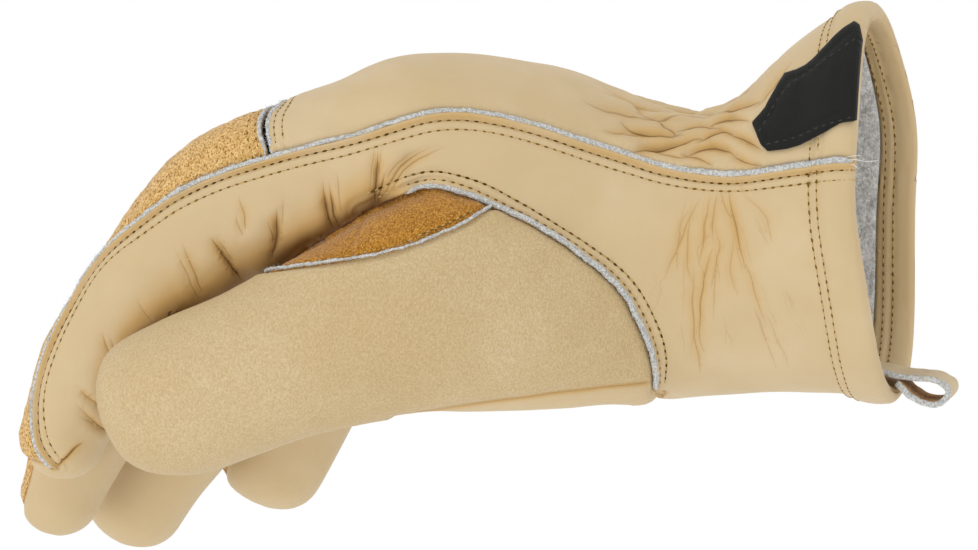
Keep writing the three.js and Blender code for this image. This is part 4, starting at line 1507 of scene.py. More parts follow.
def thread(name, color, shade):
    """Twisted thread of two tones."""
    m = Maker(name)
    return m.finish(m.mix(m.cells(0.00035).within(0.3, 0.8) * 0.4, color, shade), 0.7, 0.2)


def needle_hole(name, color):
    """Dark beads at the needle holes between stitches: the thread sunk in, with painted shade, lighter in
    patches.
    """
    m = Maker(name)
    return m.finish(m.mix(m.noise(0.003).within(0.4, 0.65) * 0.6, color, tone(136, 104, 50)), 1.0, 0.0)


def fleece():
    """White pile with grey gaps."""
    m = Maker("fleece")
    pile = m.noise(0.0012, 4, 0.7)
    patch = m.noise(0.008, 2)
    base = m.mix(pile.within(0.34, 0.68), tone(186, 184, 180), tint("fleece"))
    base = m.mix(patch.within(0.4, 0.7) * 0.3, base, tone(247, 246, 244))
    return m.finish(base, 1.0, 0.1, 0.4, m.bump(pile, 0.0011, 1.0))


def cloth(name, color, light, size):
    """Black woven cloth with fine ribs."""
    m = Maker(name)
    inputs = {"Vector": m.place, "Scale": 1 / (size * 6.3), "Distortion": 0.3}
    rib = m.node("ShaderNodeTexWave", {"bands_direction": "X"}, inputs)
    fill = m.node("ShaderNodeTexWave", {"bands_direction": "Z"}, inputs)
    weave = rib * 0.5 + fill * 0.5
    dust = m.noise(0.0010, 3).within(0.66, 0.78)
    base = m.mix(weave * 0.6, color, light)
    base = m.mix(dust * 0.12, base, tone(84, 83, 80))
    return m.finish(base, 0.9, 0.12, 0.08, m.bump(weave, 0.0001, 0.5))


@lru_cache(maxsize=1)
def finishes():
    """Every material, made once."""
    pale_nap, brown_nap = tone(228, 192, 132), tone(150, 102, 40)
    golden_nap, dark_nap = tone(198, 146, 64), tone(124, 76, 14)
    return {
        "smooth": leather("smooth_leather", "leather", False),
        "grained": leather("grained_leather", "thumb_leather", True),
        "suede": suede("finger_suede", tint("suede"), pale_nap, brown_nap, 0.0008),
        "gusset": suede("gusset_suede", tint("gusset"), golden_nap, dark_nap, 0.00055),
        "raw": raw_edge(),
        "thread": thread("golden_thread", tint("thread"), tone(168, 134, 72)),
        "olive_thread": thread("olive_thread", tone(188, 158, 100), tone(140, 110, 58)),
        "hole": needle_hole("needle_hole", tone(74, 54, 18)),
        "fine_hole_shade": needle_hole("fine_needle_hole", tone(112, 86, 36)),
        "fleece": fleece(),
        "band": cloth("stretch_band_cloth", tone(10, 10, 10), tone(26, 26, 26), 0.0004),
        "label": cloth("label_cloth", tone(24, 24, 23), tone(44, 44, 42), 0.00022),
        "label_thread": thread("label_thread", tone(58, 57, 54), tone(30, 30, 29)),
        "white_thread": thread("loose_white_thread", tone(232, 231, 226), tone(196, 194, 186)),
    }


# Panels

# Share of the hidden inner face's triangles that is kept, and the thinnest wall of a panel
KEPT_SHARE = 0.25
THIN_WALL = 0.5
# How far the relief of a seam reaches, and the distance that stands for no seam near
RELIEF_REACH = 8.0
NO_SEAM = 99.0
# The two rounds of splitting the skin: how far from a seam, and from how sharp a fold or valley
SPLIT_ROUNDS = ((7.0, 0.0005, 0), (3.2, 0.02, 0.03))
FINE_SEAMS = dict.fromkeys(("main", "thumb", "gusset", "knuckle_finger", "knuckle_cuff"), 1.0)
FINE_SEAMS.update(under=0.6, outer=0.6)


def panel_data(fields):
    """The part of the skin where every field is positive, finer near seams, with normals."""
    data, faces = fine_skin()
    for field in fields:
        data, faces = clip(data, faces, field(data[:, :3]))
    return largest(data, faces)


@lru_cache(maxsize=1)
def fine_skin():
    """The skin with its normals, split finer near seams, folds and gathers."""
    points, faces = skin()
    data = with_normals(points, faces)
    for number, (reach, fold, valley) in enumerate(SPLIT_ROUNDS):
        p = data[:, :3]
        near = np.zeros(len(p), bool)
        for name, share in FINE_SEAMS.items():
            near |= np.isfinite(seams()[name].measure(p, reach * share)[0])
        mouth = from_mouth(p)
        near |= mouth < 2.2
        near |= fold_height(data)[3] > fold
        wrist = (back_field(p) > 0) & (np.abs(p[:, 0] - ELASTIC_X) < 24) & (p[:, 1] < 30)
        if number:
            wrist &= pressed(data, VALLEYS, False, near_side(data[:, 3:6]))[3] > valley
        else:
            near |= (mouth > 4.5) & (mouth < 12.2)
        near |= wrist
        data, faces = refine(data, faces, near)
    data[:, 3:6] = unit(data[:, 3:6])
    return data, faces


def shape(data, edge, laps):
    """Outer height and painted shade of a panel: its seams' relief and a groove at plain seams."""
    p = data[:, :3]
    height, hollow = base_height(p), np.zeros(len(p))
    plain = np.ones(len(p))
    for name, profile in laps:
        distance, run = seams()[name].measure(p, RELIEF_REACH)
        if profile is LAP:
            distance = lap_reach(p, distance)
        height += relief(profile, distance, run)
        gap = np.where(np.isfinite(distance), distance, NO_SEAM)
        plain *= step(gap, 0.5, 3.0)
        # Painted shade right along every seam
        hollow = np.maximum(hollow, 0.5 * hump(gap, 0, 0.6))
        if profile is LAP:
            # A golden band beside a lapped seam: partly the leather's own deeper tone at the lapped edge,
            # partly painted shade
            hollow = np.maximum(hollow, hump(gap, 1.2, 0.8) * (0.36 + 0.2 * lumps(p, 16, 47)))
    inset = np.maximum(edge, 0)
    away = step(from_mouth(p), 0.5, 2.5)
    height -= 0.8 * (hump(inset, 0, 1.3) * plain * away)
    # Painted shade along the groove where a panel's edge meets its neighbour at a plain seam
    return height, np.maximum(hollow, 0.6 * hump(inset, 0, 0.7) * plain * away)


def wall_inner(p):
    """Depth of a panel's inner face: thicker in the folded hem, rounded at the mouth."""
    reach = from_mouth(p)
    thick = LEATHER + INNER_THICK * (1 - step(reach, INNER_HEM - 0.8, INNER_HEM))
    puff = INNER_BULGE * np.sin(math.pi * np.clip(reach / INNER_HEM, 0, 1)) ** HEM_POWER
    return -thick - puff + rounded_edge(reach) + grooves(reach, INNER_ROWS, INNER_GROOVE)


def thinned(mesh, free):
    """The mesh with fewer triangles among its free points, and unchanged elsewhere."""
    holder = placed(mesh.name, mesh)
    holder.vertex_groups.new(name="free").add(free.tolist(), 1.0, "REPLACE")
    thin = holder.modifiers.new("thin", "DECIMATE")
    thin.ratio = 1 - (1 - KEPT_SHARE) * len(free) / len(mesh.vertices)
    thin.vertex_group = "free"
    made = baked(holder)
    bpy.data.meshes.remove(mesh)
    return made


def make_panel(name, fields, edge_field, laps, look, slot, extra=None):
    """Cuts one panel out of the skin, shapes it, gives it its wall, and adds it."""
    data, faces = panel_data(fields)
    p = data[:, :3]
    count = len(p)
    height, hollow = shape(data, edge_field(p), laps)
    core, keen = np.full(count, NO_FOLD), np.zeros(count)
    if extra is not None:
        more, dark, core, keen = extra(data)
        height += more
        hollow = np.maximum(hollow, dark)
    inner = np.minimum(wall_inner(p), height - THIN_WALL)
    points, made, slots = closed_wall(data, faces, height, inner, (0, 1, 0))
    mouth, valley = from_mouth(p), thumb_shade(p) > VALLEY_SHADE
    in_hem = np.tile(mouth, 2)[made].mean(1) < INNER_HEM
    # Inner faces in the hem, and those in the valley beside the thumb that show through, are leather; in the
    # valley they are dark leather that stands in for shade
    slots[(slots == 1) & (in_hem | np.tile(valley, 2)[made].any(1))] = 0
    marks = {"hollow": hollow, "core": core, "keen": keen}
    attributes = {key: np.concatenate([value, 0 * value]) for key, value in marks.items()}
    # The inner face gets painted shade in the valley beside the thumb, and is a little darker elsewhere
    attributes["hollow"][count:] = np.where(valley, 1.1, 0.22)
    mesh = mesh_from(name, points, made, slots, attributes)
    mesh = thinned(mesh, count + np.flatnonzero((mouth > HEM_LENGTH + 1) & ~valley))
    return add_piece(f"{name}_panel", mesh, [finishes()[look], finishes()["fleece"]], [name], slot)


# The panels' own fields, and what their surface has of its own


def far_side_of_band(p):
    """The finger side of the stretch band."""
    return -knuckle(p) - band_half(p[:, 1])


def cuff_side_of_band(p):
    return knuckle(p) - band_half(p[:, 1])


def under_band(p):
    """The stretch band itself, a little wider than its gap."""
    return band_half(p[:, 1]) + 0.5 - np.abs(knuckle(p))


def plain_marks(height):
    """A panel's own height, with no painted shade and no folds."""
    none = np.zeros(len(height))
    return height, none, none + NO_FOLD, none


def rough_nap(data):
    """Uneven nap of the suede."""
    p = data[:, :3]
    return plain_marks(0.15 * lumps(p, 1.7, 51) + 0.13 * lumps(p, 1.0, 52))


def band_dip(data):
    """The stretch band lies deep between the panels."""
    return plain_marks(np.full(len(data), -1.5))


def no_edge(p):
    return np.full(len(p), 9.0)


def palm_field(p):
    """All that is neither a back nor a thumb panel."""
    backs = np.maximum.reduce([finger_back_field(p, name) for name in FINGERS])
    backs = np.minimum(backs, far_side_of_band(p))
    hand = np.minimum(back_field(p), knuckle(p) + band_half(p[:, 1]))
    return np.minimum(-np.maximum(hand, backs), -thumb_field(p))


def hand_back(p):
    """The back of the hand, clear of the thumb."""
    return np.minimum(back_field(p), -thumb_field(p))


def finger_back(name):
    """The field of one finger's back, clear of the thumb."""
    return lambda p: np.minimum(finger_back_field(p, name), -thumb_field(p))


def thumb_outer(p):
    """The thumb without its gusset and its underside."""
    return np.minimum.reduce([thumb_field(p), -gusset_field(p), -under_field(p)])


def thumb_outer_edge(p):
    """The same, without a groove and its painted shade along the free part of the thumb."""
    return thumb_outer(p) + 9 * step(-p[:, 0], 112, 118)


def thumb_under(p):
    return np.minimum(thumb_field(p), under_field(p))


def thumb_gusset(p):
    return np.minimum(thumb_field(p), gusset_field(p))


def build_panels():
    palm_laps = [("main", LAP), ("thumb", THUMB_LAP), ("outer", LAP), ("foot", THUMB_LAP)]
    make_panel("palm_leather", [palm_field], palm_field, palm_laps, "smooth", "smooth_leather", fold_height)
    back_laps = [("main", TUCKED), ("outer", TUCKED), ("knuckle_cuff", TWO_ROWS)]
    back_fields = [hand_back, cuff_side_of_band]
    make_panel("back_leather", back_fields, hand_back, back_laps, "smooth", "smooth_leather", gather_height)
    make_panel("knuckle_band", [hand_back, under_band], no_edge, [], "band", "stretch_cloth", band_dip)
    finger_laps = [("main", TUCKED), ("knuckle_finger", TWO_ROWS)]
    for name in FINGERS:
        field = finger_back(name)
        make_panel(
            f"{name}_back_suede", [field, far_side_of_band], field, finger_laps, "suede", "suede", rough_nap
        )
    thumb, foot, gusset = ("thumb", TUCKED), ("foot", TUCKED), ("gusset", TUCKED)
    make_panel(
        "thumb_leather", [thumb_outer], thumb_outer_edge, [thumb, gusset, foot], "grained", "grained_leather"
    )
    make_panel("thumb_underside", [thumb_under], thumb_under, [thumb, foot], "smooth", "smooth_leather")
    make_panel("thumb_gusset_suede", [thumb_gusset], thumb_gusset, [thumb, gusset], "gusset", "suede")


# Raw edges


# The raw edges: the seam each lies along, its place beside the seam, its width against the common one, its
# height, how far it is lifted, and its ends along X
WHOLE_SEAM = (-2 * FAR, FAR)
RAW_EDGES = {
    "main_seam_edge": ("main", 0.35, 1.0, 1.2, 0.35, WHOLE_SEAM),
    "outer_seam_edge": ("outer", 0.35, 1.0, 1.2, 0.35, WHOLE_SEAM),
    "thumb_seam_edge": ("thumb", 0.0, 0.95, 1.1, 0.3, (-110.0, -50.0)),
    "gusset_seam_edge": ("gusset", -0.1, 0.5, 0.8, 0.25, (-146.0, -88.6)),
    "knuckle_finger_edge": ("knuckle_finger", -0.4, 0.85, 1.0, 0.0, WHOLE_SEAM),
    "knuckle_cuff_edge": ("knuckle_cuff", 0.4, 0.85, 1.0, 0.0, WHOLE_SEAM),
}
# Hairs of the nap: how many stand on a square millimetre, their length and their radius
HAIR_DENSITY = 3.2
HAIR_LENGTH = 0.95
HAIR_RADIUS = 0.055
LOOSE_THREAD_RADIUS = 0.07


def rough_strip(seam, shift, width, height, lift, span, seed):
    """A closed napped strip that lies along a seam between two x: its points and triangles."""
    line = even(np.column_stack([seam.shifted(shift), seam.normals]), 0.4)
    line = line[(line[:, 0] > span[0]) & (line[:, 0] < span[1])]
    centre, normal = line[:, :3], unit(line[:, 3:6])
    side = np.cross(unit(np.gradient(centre, axis=0)), normal)
    wider = width * (1 + 0.35 * step(centre[:, 0], -115, -55))
    centre = centre + normal * (base_height(centre) + lift)[:, None]
    sway = side * (0.2 * lumps(centre, 2.6, seed))[:, None]
    centre += sway + normal * (0.18 * lumps(centre, 3.4, seed + 1))[:, None]
    c, s = superellipse(around(14), 2.6)
    count = np.arange(len(line))
    fade = np.sqrt(np.clip(np.minimum(count, count[::-1]) / 4, 0.05, 1))
    u, v = c[None] * (wider / 2 * fade)[:, None], s[None] * height / 2 * fade[:, None]
    rings = centre[:, None] + side[:, None] * u[..., None] + normal[:, None] * v[..., None]
    out = side[:, None] * c[None, :, None] + normal[:, None] * s[None, :, None]
    flat = rings.reshape(-1, 3)
    rough = 0.14 * lumps(flat, 0.75, seed + 2) + 0.1 * lumps(flat, 0.4, seed + 3)
    return loft(rings + out * rough.reshape(len(line), -1)[..., None])


def fibres(points, faces, seed):
    """Thin tapering hairs that stand out of a surface, as points and triangles."""
    rng = np.random.default_rng(seed)
    tri = points[faces]
    flat = crosses(tri)
    area = 0.5 * np.linalg.norm(flat, axis=1)
    count = int(area.sum() * HAIR_DENSITY)
    pick = rng.choice(len(faces), count, p=area / area.sum())
    r = rng.random((count, 2))
    r = np.where(r.sum(1)[:, None] > 1, 1 - r, r)
    a, b, c = tri[pick].transpose(1, 0, 2)
    root = a + (b - a) * r[:, :1] + (c - a) * r[:, 1:]
    up = unit(flat[pick])
    way = unit(up + 0.9 * rng.normal(size=(count, 3)) * np.array([1, 0.8, 1]))
    tip = root + way * (HAIR_LENGTH * (0.35 + rng.random(count) ** 2))[:, None]
    across = HAIR_RADIUS * unit(np.cross(way, rng.normal(size=(count, 3))))
    third = np.cross(way, across)
    foot = root - up * 0.1
    ring = [foot + across, foot - 0.5 * across + 0.87 * third, foot - 0.5 * across - 0.87 * third]
    made = np.stack([*ring, tip], 1).reshape(-1, 3)
    cone = np.array([(0, 1, 3), (1, 2, 3), (2, 0, 3), (0, 2, 1)])
    return made, (cone[None] + 4 * np.arange(count)[:, None, None]).reshape(-1, 3)


def build_raw_edges():
    common = bpy.context.scene.glove_sizes.raw_edge / MM
    for seed, (name, (seam, shift, width, *rest)) in enumerate(RAW_EDGES.items()):
        strip = rough_strip(seams()[seam], shift, width * common, *rest, 10 * seed)
        mesh = mesh_from(name, *joined([strip, fibres(*strip, seed)]))
        add_piece(name, mesh, [finishes()["raw"]], slot="suede")


def tube(line, radius):
    """A thin round thread through a few points."""
    path = curve_through(line, 0.3)
    along = unit(np.gradient(path, axis=0))
    first = unit(np.cross(along, (0.3, 1, 0.2)))
    second = np.cross(along, first)
    angle = around(6)[None, :, None]
    ring = first[:, None] * np.cos(angle) + second[:, None] * np.sin(angle)
    return loft(path[:, None] + radius * ring)


def build_loose_threads():
    """Thread ends that stick out where the main seam runs out at the mouth."""
    parts = [tube(line, LOOSE_THREAD_RADIUS) for line in LOOSE_THREADS]
    mesh = mesh_from("loose_threads", *joined(parts))
    add_piece("loose_threads", mesh, [finishes()["white_thread"]], slot="suede")


# Stitching


class Repeater(Graph):
    """Builds one geometry node tree from the names and kinds of its inputs."""

    def __init__(self, name, kinds):
        self.tree = bpy.data.node_groups.new(name, "GeometryNodeTree")
        face = self.tree.interface
        for label, kind in kinds.items():
            face.new_socket(label, in_out="INPUT", socket_type="NodeSocket" + kind)
        face.new_socket("Geometry", in_out="OUTPUT", socket_type="NodeSocketGeometry")
        given = self.tree.nodes.new("NodeGroupInput").outputs
        self.given = {label: Value(self, given[label]) for label in kinds}
        self.result = self.tree.nodes.new("NodeGroupOutput").inputs[0]


# How much smaller and larger the beads of a row are made at random
BEAD_SCALES = (0.85, 1.12)


@lru_cache(maxsize=1)
def bead_tree():
    """Repeats one bead along lines: the lines carry a normal in their attribute out."""
    kinds = dict(Geometry="Geometry", Length="Float", Width="Float", Height="Float", Wobble="Float")
    kinds.update(Seed="Int", Material="Material")
    n = Repeater("repeated_beads", kinds)
    given = n.given

    def facing(axis, inputs, **settings):
        return n.node("FunctionNodeAlignRotationToVector", {"axis": axis, **settings}, inputs)

    def chance(low, high):
        inputs = {"Min": low, "Max": high, "Seed": given["Seed"]}
        return n.node("FunctionNodeRandomValue", {"data_type": "FLOAT"}, inputs, 1)

    spaced = n.node("GeometryNodeMeshToCurve", {}, {0: given["Geometry"]})
    out = n.node("GeometryNodeInputNamedAttribute", {"data_type": "FLOAT_VECTOR"}, {"Name": "out"})
    tangent = n.node("GeometryNodeInputTangent", {}, {})
    turned = facing("X", {"Rotation": facing("Z", {"Vector": out}), "Vector": tangent}, pivot_axis="Z")
    lean = n.node("ShaderNodeCombineXYZ", {}, {"Z": chance(given["Wobble"] * -1.0, given["Wobble"])})
    tilt = n.node("FunctionNodeEulerToRotation", {}, {0: lean})
    pose = n.node("FunctionNodeRotateRotation", {"rotation_space": "LOCAL"}, {0: turned, 1: tilt})
    bead = n.node("GeometryNodeMeshUVSphere", {}, {"Segments": 8, "Rings": 6, "Radius": 0.5})
    scale = n.node("ShaderNodeCombineXYZ", {}, {0: given["Length"], 1: given["Width"], 2: given["Height"]})
    sized = n.node("ShaderNodeVectorMath", {"operation": "SCALE"}, {0: scale, "Scale": chance(*BEAD_SCALES)})
    inputs = {"Points": spaced, "Instance": bead, "Rotation": pose, "Scale": sized}
    repeats = n.node("GeometryNodeInstanceOnPoints", {}, inputs)
    real = n.node("GeometryNodeRealizeInstances", {}, {0: repeats})
    dressed = n.node("GeometryNodeSetMaterial", {}, {"Geometry": real, "Material": given["Material"]})
    n.feed(n.result, dressed)
    return n.tree


def beads(name, rows, pitch, halfway, material, sizes, seed):
    """Beads of one kind as one mesh: at every stitch of rows of points with normals, or halfway between."""
    spots = [even(np.hstack(row), pitch) for row in rows]
    if halfway:
        spots = [(row[1:] + row[:-1]) / 2 for row in spots]
    spots = [row for row in spots if len(row) > 2]
    points, out = np.split(np.concatenate(spots), 2, axis=1)
    last = np.cumsum([len(row) for row in spots]) - 1
    starts = np.delete(np.arange(len(points)), last)
    mesh = bpy.data.meshes.new(name)
    mesh.vertices.add(len(points))
    mesh.vertices.foreach_set("co", (points * MM).astype(np.float32).ravel())
    mesh.edges.add(len(starts))
    mesh.edges.foreach_set("vertices", np.stack([starts, starts + 1], 1).astype(np.int32).ravel())
    outward = mesh.attributes.new("out", "FLOAT_VECTOR", "POINT")
    outward.data.foreach_set("vector", out.astype(np.float32).ravel())
    mesh.update()
    holder = placed(name + "_rows", mesh)
    modifier = holder.modifiers.new("beads", "NODES")
    modifier.node_group = bead_tree()
    values = {**sizes, "Seed": seed, "Material": material}
    for item in modifier.node_group.interface.items_tree:
        if item.in_out == "INPUT" and item.name in values:
            modifier[item.identifier] = values[item.name]
    holder.update_tag()
    made = baked(holder)
    made.name = name
    made.polygons.foreach_set("use_smooth", np.ones(len(made.polygons), bool))
    return made


def tree_over(ending):
    """A search tree over every piece, as it was shaped, whose name has that ending."""
    parts = [triangles_of(piece.data) for piece in bpy.context.scene.objects if piece.name.endswith(ending)]
    points, faces = joined(parts)
    return BVHTree.FromPolygons((points / MM).tolist(), faces.tolist())


# A row of stitches is laid from this far above the panels, or this far below them for the inner rows, over
# at most this distance. A run of fewer places isn't sewn.
ABOVE = 4.0
BELOW = 12.0
LAY_REACH = 14.0
SHORT_RUN = 8


def sewn_row(tree, seam, offset, inward=False, keep=None):
    """A row of stitches beside a seam, laid onto the shaped panels: runs of points and normals."""
    line = even(np.column_stack([seam.shifted(offset), seam.normals]), SEAM_STEP)
    soften(line, NORMAL_ROUNDS)
    runs = [[]]
    for row in line:
        normal = Vector(row[3:6]).normalized()
        way = normal if inward else -normal
        start = Vector(row[:3]) - way * (BELOW if inward else ABOVE)
        place, _, _, distance = tree.ray_cast(start, way)
        if place is None or distance > LAY_REACH or (keep is not None and not keep(row)):
            runs.append([])
        else:
            runs[-1].append([*place, *(-way)])
    rows = [np.split(np.array(run), 2, axis=1) for run in runs if len(run) >= SHORT_RUN]
    for points, _ in rows:
        soften(points, 6)
    return rows


def clear_of_label(row):
    """Whether a place of a row isn't under the label."""
    return row[1] > 0 or inside(LABEL, row[:1], row[2:3])[0] < -0.6


def between(low, high=FAR):
    """Whether a place of a row lies between two X."""
    return lambda row: low < row[0] < high


def build_stitching():
    lines = seams()
    tree = tree_over("_panel")
    sizes = bpy.context.scene.glove_sizes
    pitch, thick = sizes.stitch_pitch / MM, sizes.thread
    thumb = lines["thumb"]
    bold = sewn_row(tree, thumb, THUMB_ROWS[1], keep=between(-118.5))
    fine = sewn_row(tree, thumb, THUMB_ROWS[0], keep=between(-116))
    laps = {name: lap_rows(lines[name].points) for name in ("main", "outer")}
    bold = [row for name, (first, _) in laps.items() for row in sewn_row(tree, lines[name], -first)] + bold
    fine = [row for name, (_, second) in laps.items() for row in sewn_row(tree, lines[name], -second)] + fine
    fine += sewn_row(tree, lines["foot"], 1.5)
    fine += sewn_row(tree, lines["gusset"], 1.5, keep=between(-104, -93))
    for reach in INNER_ROWS:
        fine += sewn_row(tree, lines["rim"], reach, inward=True)
    for reach in HEM_ROWS:
        fine += sewn_row(tree, lines["rim"], reach, keep=clear_of_label)
    for reach in TWO_ROWS_GROOVES:
        fine += sewn_row(tree, lines["knuckle_cuff"], reach)
        fine += sewn_row(tree, lines["knuckle_finger"], -reach)
    cloth_tree = tree_over("label_cloth")
    border = []
    for line in LABEL_BORDER:
        starts = [(x, -FAR, z) for x, z in curve_through(line, SEAM_STEP)]
        edge = Seam(cast(cloth_tree, starts, (0, 1, 0), lambda p: p.y < 0), cloth_tree)
        border += sewn_row(cloth_tree, edge, 0.0)
    gusset = sewn_row(tree, lines["gusset"], 1.1, keep=between(-2 * FAR, -102))
    bold_size = {"Length": 1.25 * MM, "Width": 1.15 * thick, "Height": 0.95 * thick, "Wobble": 0.1}
    fine_size = {"Length": 1.15 * MM, "Width": 0.9 * thick, "Height": 0.8 * thick, "Wobble": 0.12}
    slim = {**fine_size, "Width": 0.7 * thick}
    # The needle holes are dark beads between the stitches: the thread sunk into each hole, and painted shade
    # in it
    kinds = (
        ("needle_holes", bold, True, "hole", bold_size),
        ("fine_needle_holes", fine, True, "fine_hole_shade", fine_size),
        ("dark_stitches", bold, False, "olive_thread", {**bold_size, "Width": 0.8 * thick}),
        ("golden_stitches", fine, False, "thread", slim),
        ("gusset_stitches", gusset, False, "thread", {**slim, "Length": 0.8 * MM}),
        ("label_stitches", border, False, "label_thread", {**fine_size, "Length": 1.3 * MM}),
    )
    for seed, (name, rows, halfway, look, size) in enumerate(kinds):
        mesh = beads(name, rows, pitch, halfway, finishes()[look], size, seed)
        add_piece(name, mesh, slot="label_cloth" if name == "label_stitches" else "suede")


# Lining, label and pull loop


# The fleece sleeve ends at this X, and is split finer from this X to the mouth
SLEEVE_END = -129.0
SLEEVE_FINE = -70.0


def build_lining():
    points, faces = loft(hand_rings(places_of(HAND)[:-1], 150))
    faces = faces[(faces < len(points) - 2).all(1)]
    data = with_normals(points, faces)
    data, faces = clip(data, faces, from_mouth(data[:, :3]) - INNER_HEM)
    data, faces = clip(data, faces, data[:, 0] - SLEEVE_END)
    radius, size = thumb_radius(data[:, :3])
    data, faces = clip(data, faces, np.where(data[:, 0] > THUMB["x"][0], 9.0, (radius - 1) * size))
    data, faces = refine(data, faces, data[:, 0] > SLEEVE_FINE)
    data, faces = largest(data, faces)
    p = data[:, :3]
    pile = 0.55 * lumps(p, 2.2, 61) + 0.35 * lumps(p, 1.1, 62) + 0.7 * lumps(p, 9, 63)
    outer = np.full(len(p), -LEATHER - LINING_GAP)
    mesh = mesh_from("fleece_sleeve", *closed_wall(data, faces, outer, outer - FLEECE + pile))
    add_piece("fleece_sleeve", mesh, [finishes()["fleece"]], ["fleece_lining"], "fleece")


def label_edge(p):
    """How far inside the label's edge a point lies, on the near side."""
    return np.minimum(inside(LABEL, p[:, 0], p[:, 2]), -p[:, 1])


def build_label():
    """The bare label on the cuff, with its turned and stitched border; and its area."""
    data, faces = skin()
    data = with_normals(data, faces)
    data, faces = refine(data, faces, inside(LABEL, data[:, 0], data[:, 2]) > -3)
    data, faces = clip(data, faces, label_edge(data[:, :3]))
    data, faces = largest(data, faces)
    p = data[:, :3]
    mouth = from_mouth(p)
    base = soft_form(p) + HEM_BULGE * (1 - step(mouth, 6, 16)) + gather_height(data)[0] - rounded_edge(mouth)
    inset = label_edge(p)
    border = 0.25 * hump(inset, 2.2, 0.5)
    rounding = 0.5 * np.exp(-inset / 0.4)
    creases = 0.3 * lumps(p, 7, 71) + 0.12 * lumps(p, 2.5, 72)
    outer = base + LABEL_GAP + LABEL_CLOTH + creases - border - rounding
    inner = base + LABEL_GAP
    mesh = mesh_from("label_cloth", *closed_wall(data, faces, np.maximum(outer, inner + 0.35), inner))
    label = add_piece("label_cloth", mesh, [finishes()["label"]], ["label_patch"], "label_cloth")
    area = 0.5 * np.linalg.norm(crosses(p[faces]), axis=1).sum() * MM * MM
    return label, area


# Points across each flat side of the loop's strip and round each of its edges, and the radius of the edges
STRIP_FLAT = 22
STRIP_EDGE = 7
STRIP_ROUND = 0.5


def strip_along(line, width, thick, seed):
    """A flat strip with soft edges, bent along a line in x and z: points, triangles and material slots."""
    path = curve_through(line, 0.5)
    run = unit(np.gradient(path, axis=0))
    normal = np.stack([-run[:, 1], run[:, 0]], 1)
    edge = width / 2 - STRIP_ROUND
    flat = np.linspace(-edge, edge, STRIP_FLAT)
    turn = np.linspace(0, math.pi, STRIP_EDGE + 2)[1:-1]
    bulge = edge + STRIP_ROUND * np.sin(turn)
    u = np.concatenate([flat, bulge, flat[::-1], -bulge])
    v = np.concatenate([0 * flat + 1, np.cos(turn), 0 * flat - 1, -np.cos(turn)]) * thick / 2
    wave = 0.2 * np.sin(np.linspace(0, 3, len(path)))[:, None]
    rings = np.stack([path[:, :1] + normal[:, :1] * v, u + wave, path[:, 1:] + normal[:, 1:] * v], -1)
    flat_points = rings.reshape(-1, 3)
    rough = 0.14 * lumps(flat_points, 2.0, seed)[:, None] * np.array([1, 1.6, 1])
    points, faces = loft((flat_points + rough).reshape(rings.shape))
    ends = np.cumsum([STRIP_FLAT, STRIP_EDGE, STRIP_FLAT])
    slots = np.array([0, 1, 2, 1])[np.searchsorted(ends, (faces % len(u)).max(1), side="right")]
    return points, faces, slots


def build_loop():
    mesh = mesh_from("folded_pull_loop", *strip_along(LOOP, LOOP_WIDTH, LOOP_LEATHER, 81))
    looks = [finishes()[look] for look in ("smooth", "raw", "suede")]
    add_piece("folded_pull_loop", mesh, looks, ["pull_loop"], "smooth_leather")


# Add-on


def length_property(name, description, default, **limits):
    """A length in metres that can be changed in the panel."""
    return bpy.props.FloatProperty(
        name=name, description=description, default=default, unit="LENGTH", **limits
    )


def colour_property(name, description, colour):
    """A colour that can be changed in the panel, from a display colour."""
    start = tone(*colour)[:3]
    return bpy.props.FloatVectorProperty(
        name=name, description=description, default=start, size=3, subtype="COLOR"
    )


class GloveSizes(bpy.types.PropertyGroup):
    mesh_size: length_property("Mesh size", "Spacing of the skin's mesh", 0.0014, min=0.0006, max=0.004)
    stitch_pitch: length_property("Stitch pitch", "From one stitch to the next", STITCH_PITCH * MM)
    thread: length_property("Thread", "Diameter of the sewing thread", 0.0005)
    raw_edge: length_property("Raw edge", "Width of the raw edges that stand up along the seams", 0.0012)


class GloveColours(bpy.types.PropertyGroup):
    leather: colour_property("Leather", "Smooth panels", (196, 173, 133))
    thumb_leather: colour_property("Thumb leather", "Pebbled thumb", (196, 173, 131))
    suede: colour_property("Suede", "Finger backs", (198, 158, 94))
    gusset: colour_property("Gusset suede", "Suede beside the thumb", (164, 110, 34))
    raw_edge: colour_property("Raw edge", "Napped edges of the leather", (208, 209, 207))
    thread: colour_property("Thread", "Sewing thread", (198, 168, 110))
    fleece: colour_property("Fleece", "Lining", (238, 236, 232))


class GLOVE_OT_panels(bpy.types.Operator):
    """Cuts the leather, suede and stretch panels out of the glove's skin and shapes them"""

    bl_idname = "glove.panels"
    bl_label = "Leather and suede panels"

    def execute(self, context):
        build_panels()
        return {"FINISHED"}


class GLOVE_OT_raw_edges(bpy.types.Operator):
    """Lays the napped raw edges of the leather along the seams"""

    bl_idname = "glove.raw_edges"
    bl_label = "Raw edges"

    def execute(self, context):
        build_raw_edges()
        build_loose_threads()
        return {"FINISHED"}


class GLOVE_OT_stitching(bpy.types.Operator):
    """Sews the rows of stitches onto the shaped panels"""

    bl_idname = "glove.stitching"
    bl_label = "Stitching"

    def execute(self, context):
        build_stitching()
        return {"FINISHED"}


class GLOVE_OT_lining(bpy.types.Operator):
    """Puts the fleece sleeve inside the hand"""

    bl_idname = "glove.lining"
    bl_label = "Fleece lining"

    def execute(self, context):
        build_lining()
        return {"FINISHED"}


class GLOVE_OT_label(bpy.types.Operator):
    """Sews the bare black label onto the cuff"""

    bl_idname = "glove.label"
    bl_label = "Label"

    def execute(self, context):
        label, area = build_label()
        return {"FINISHED"}


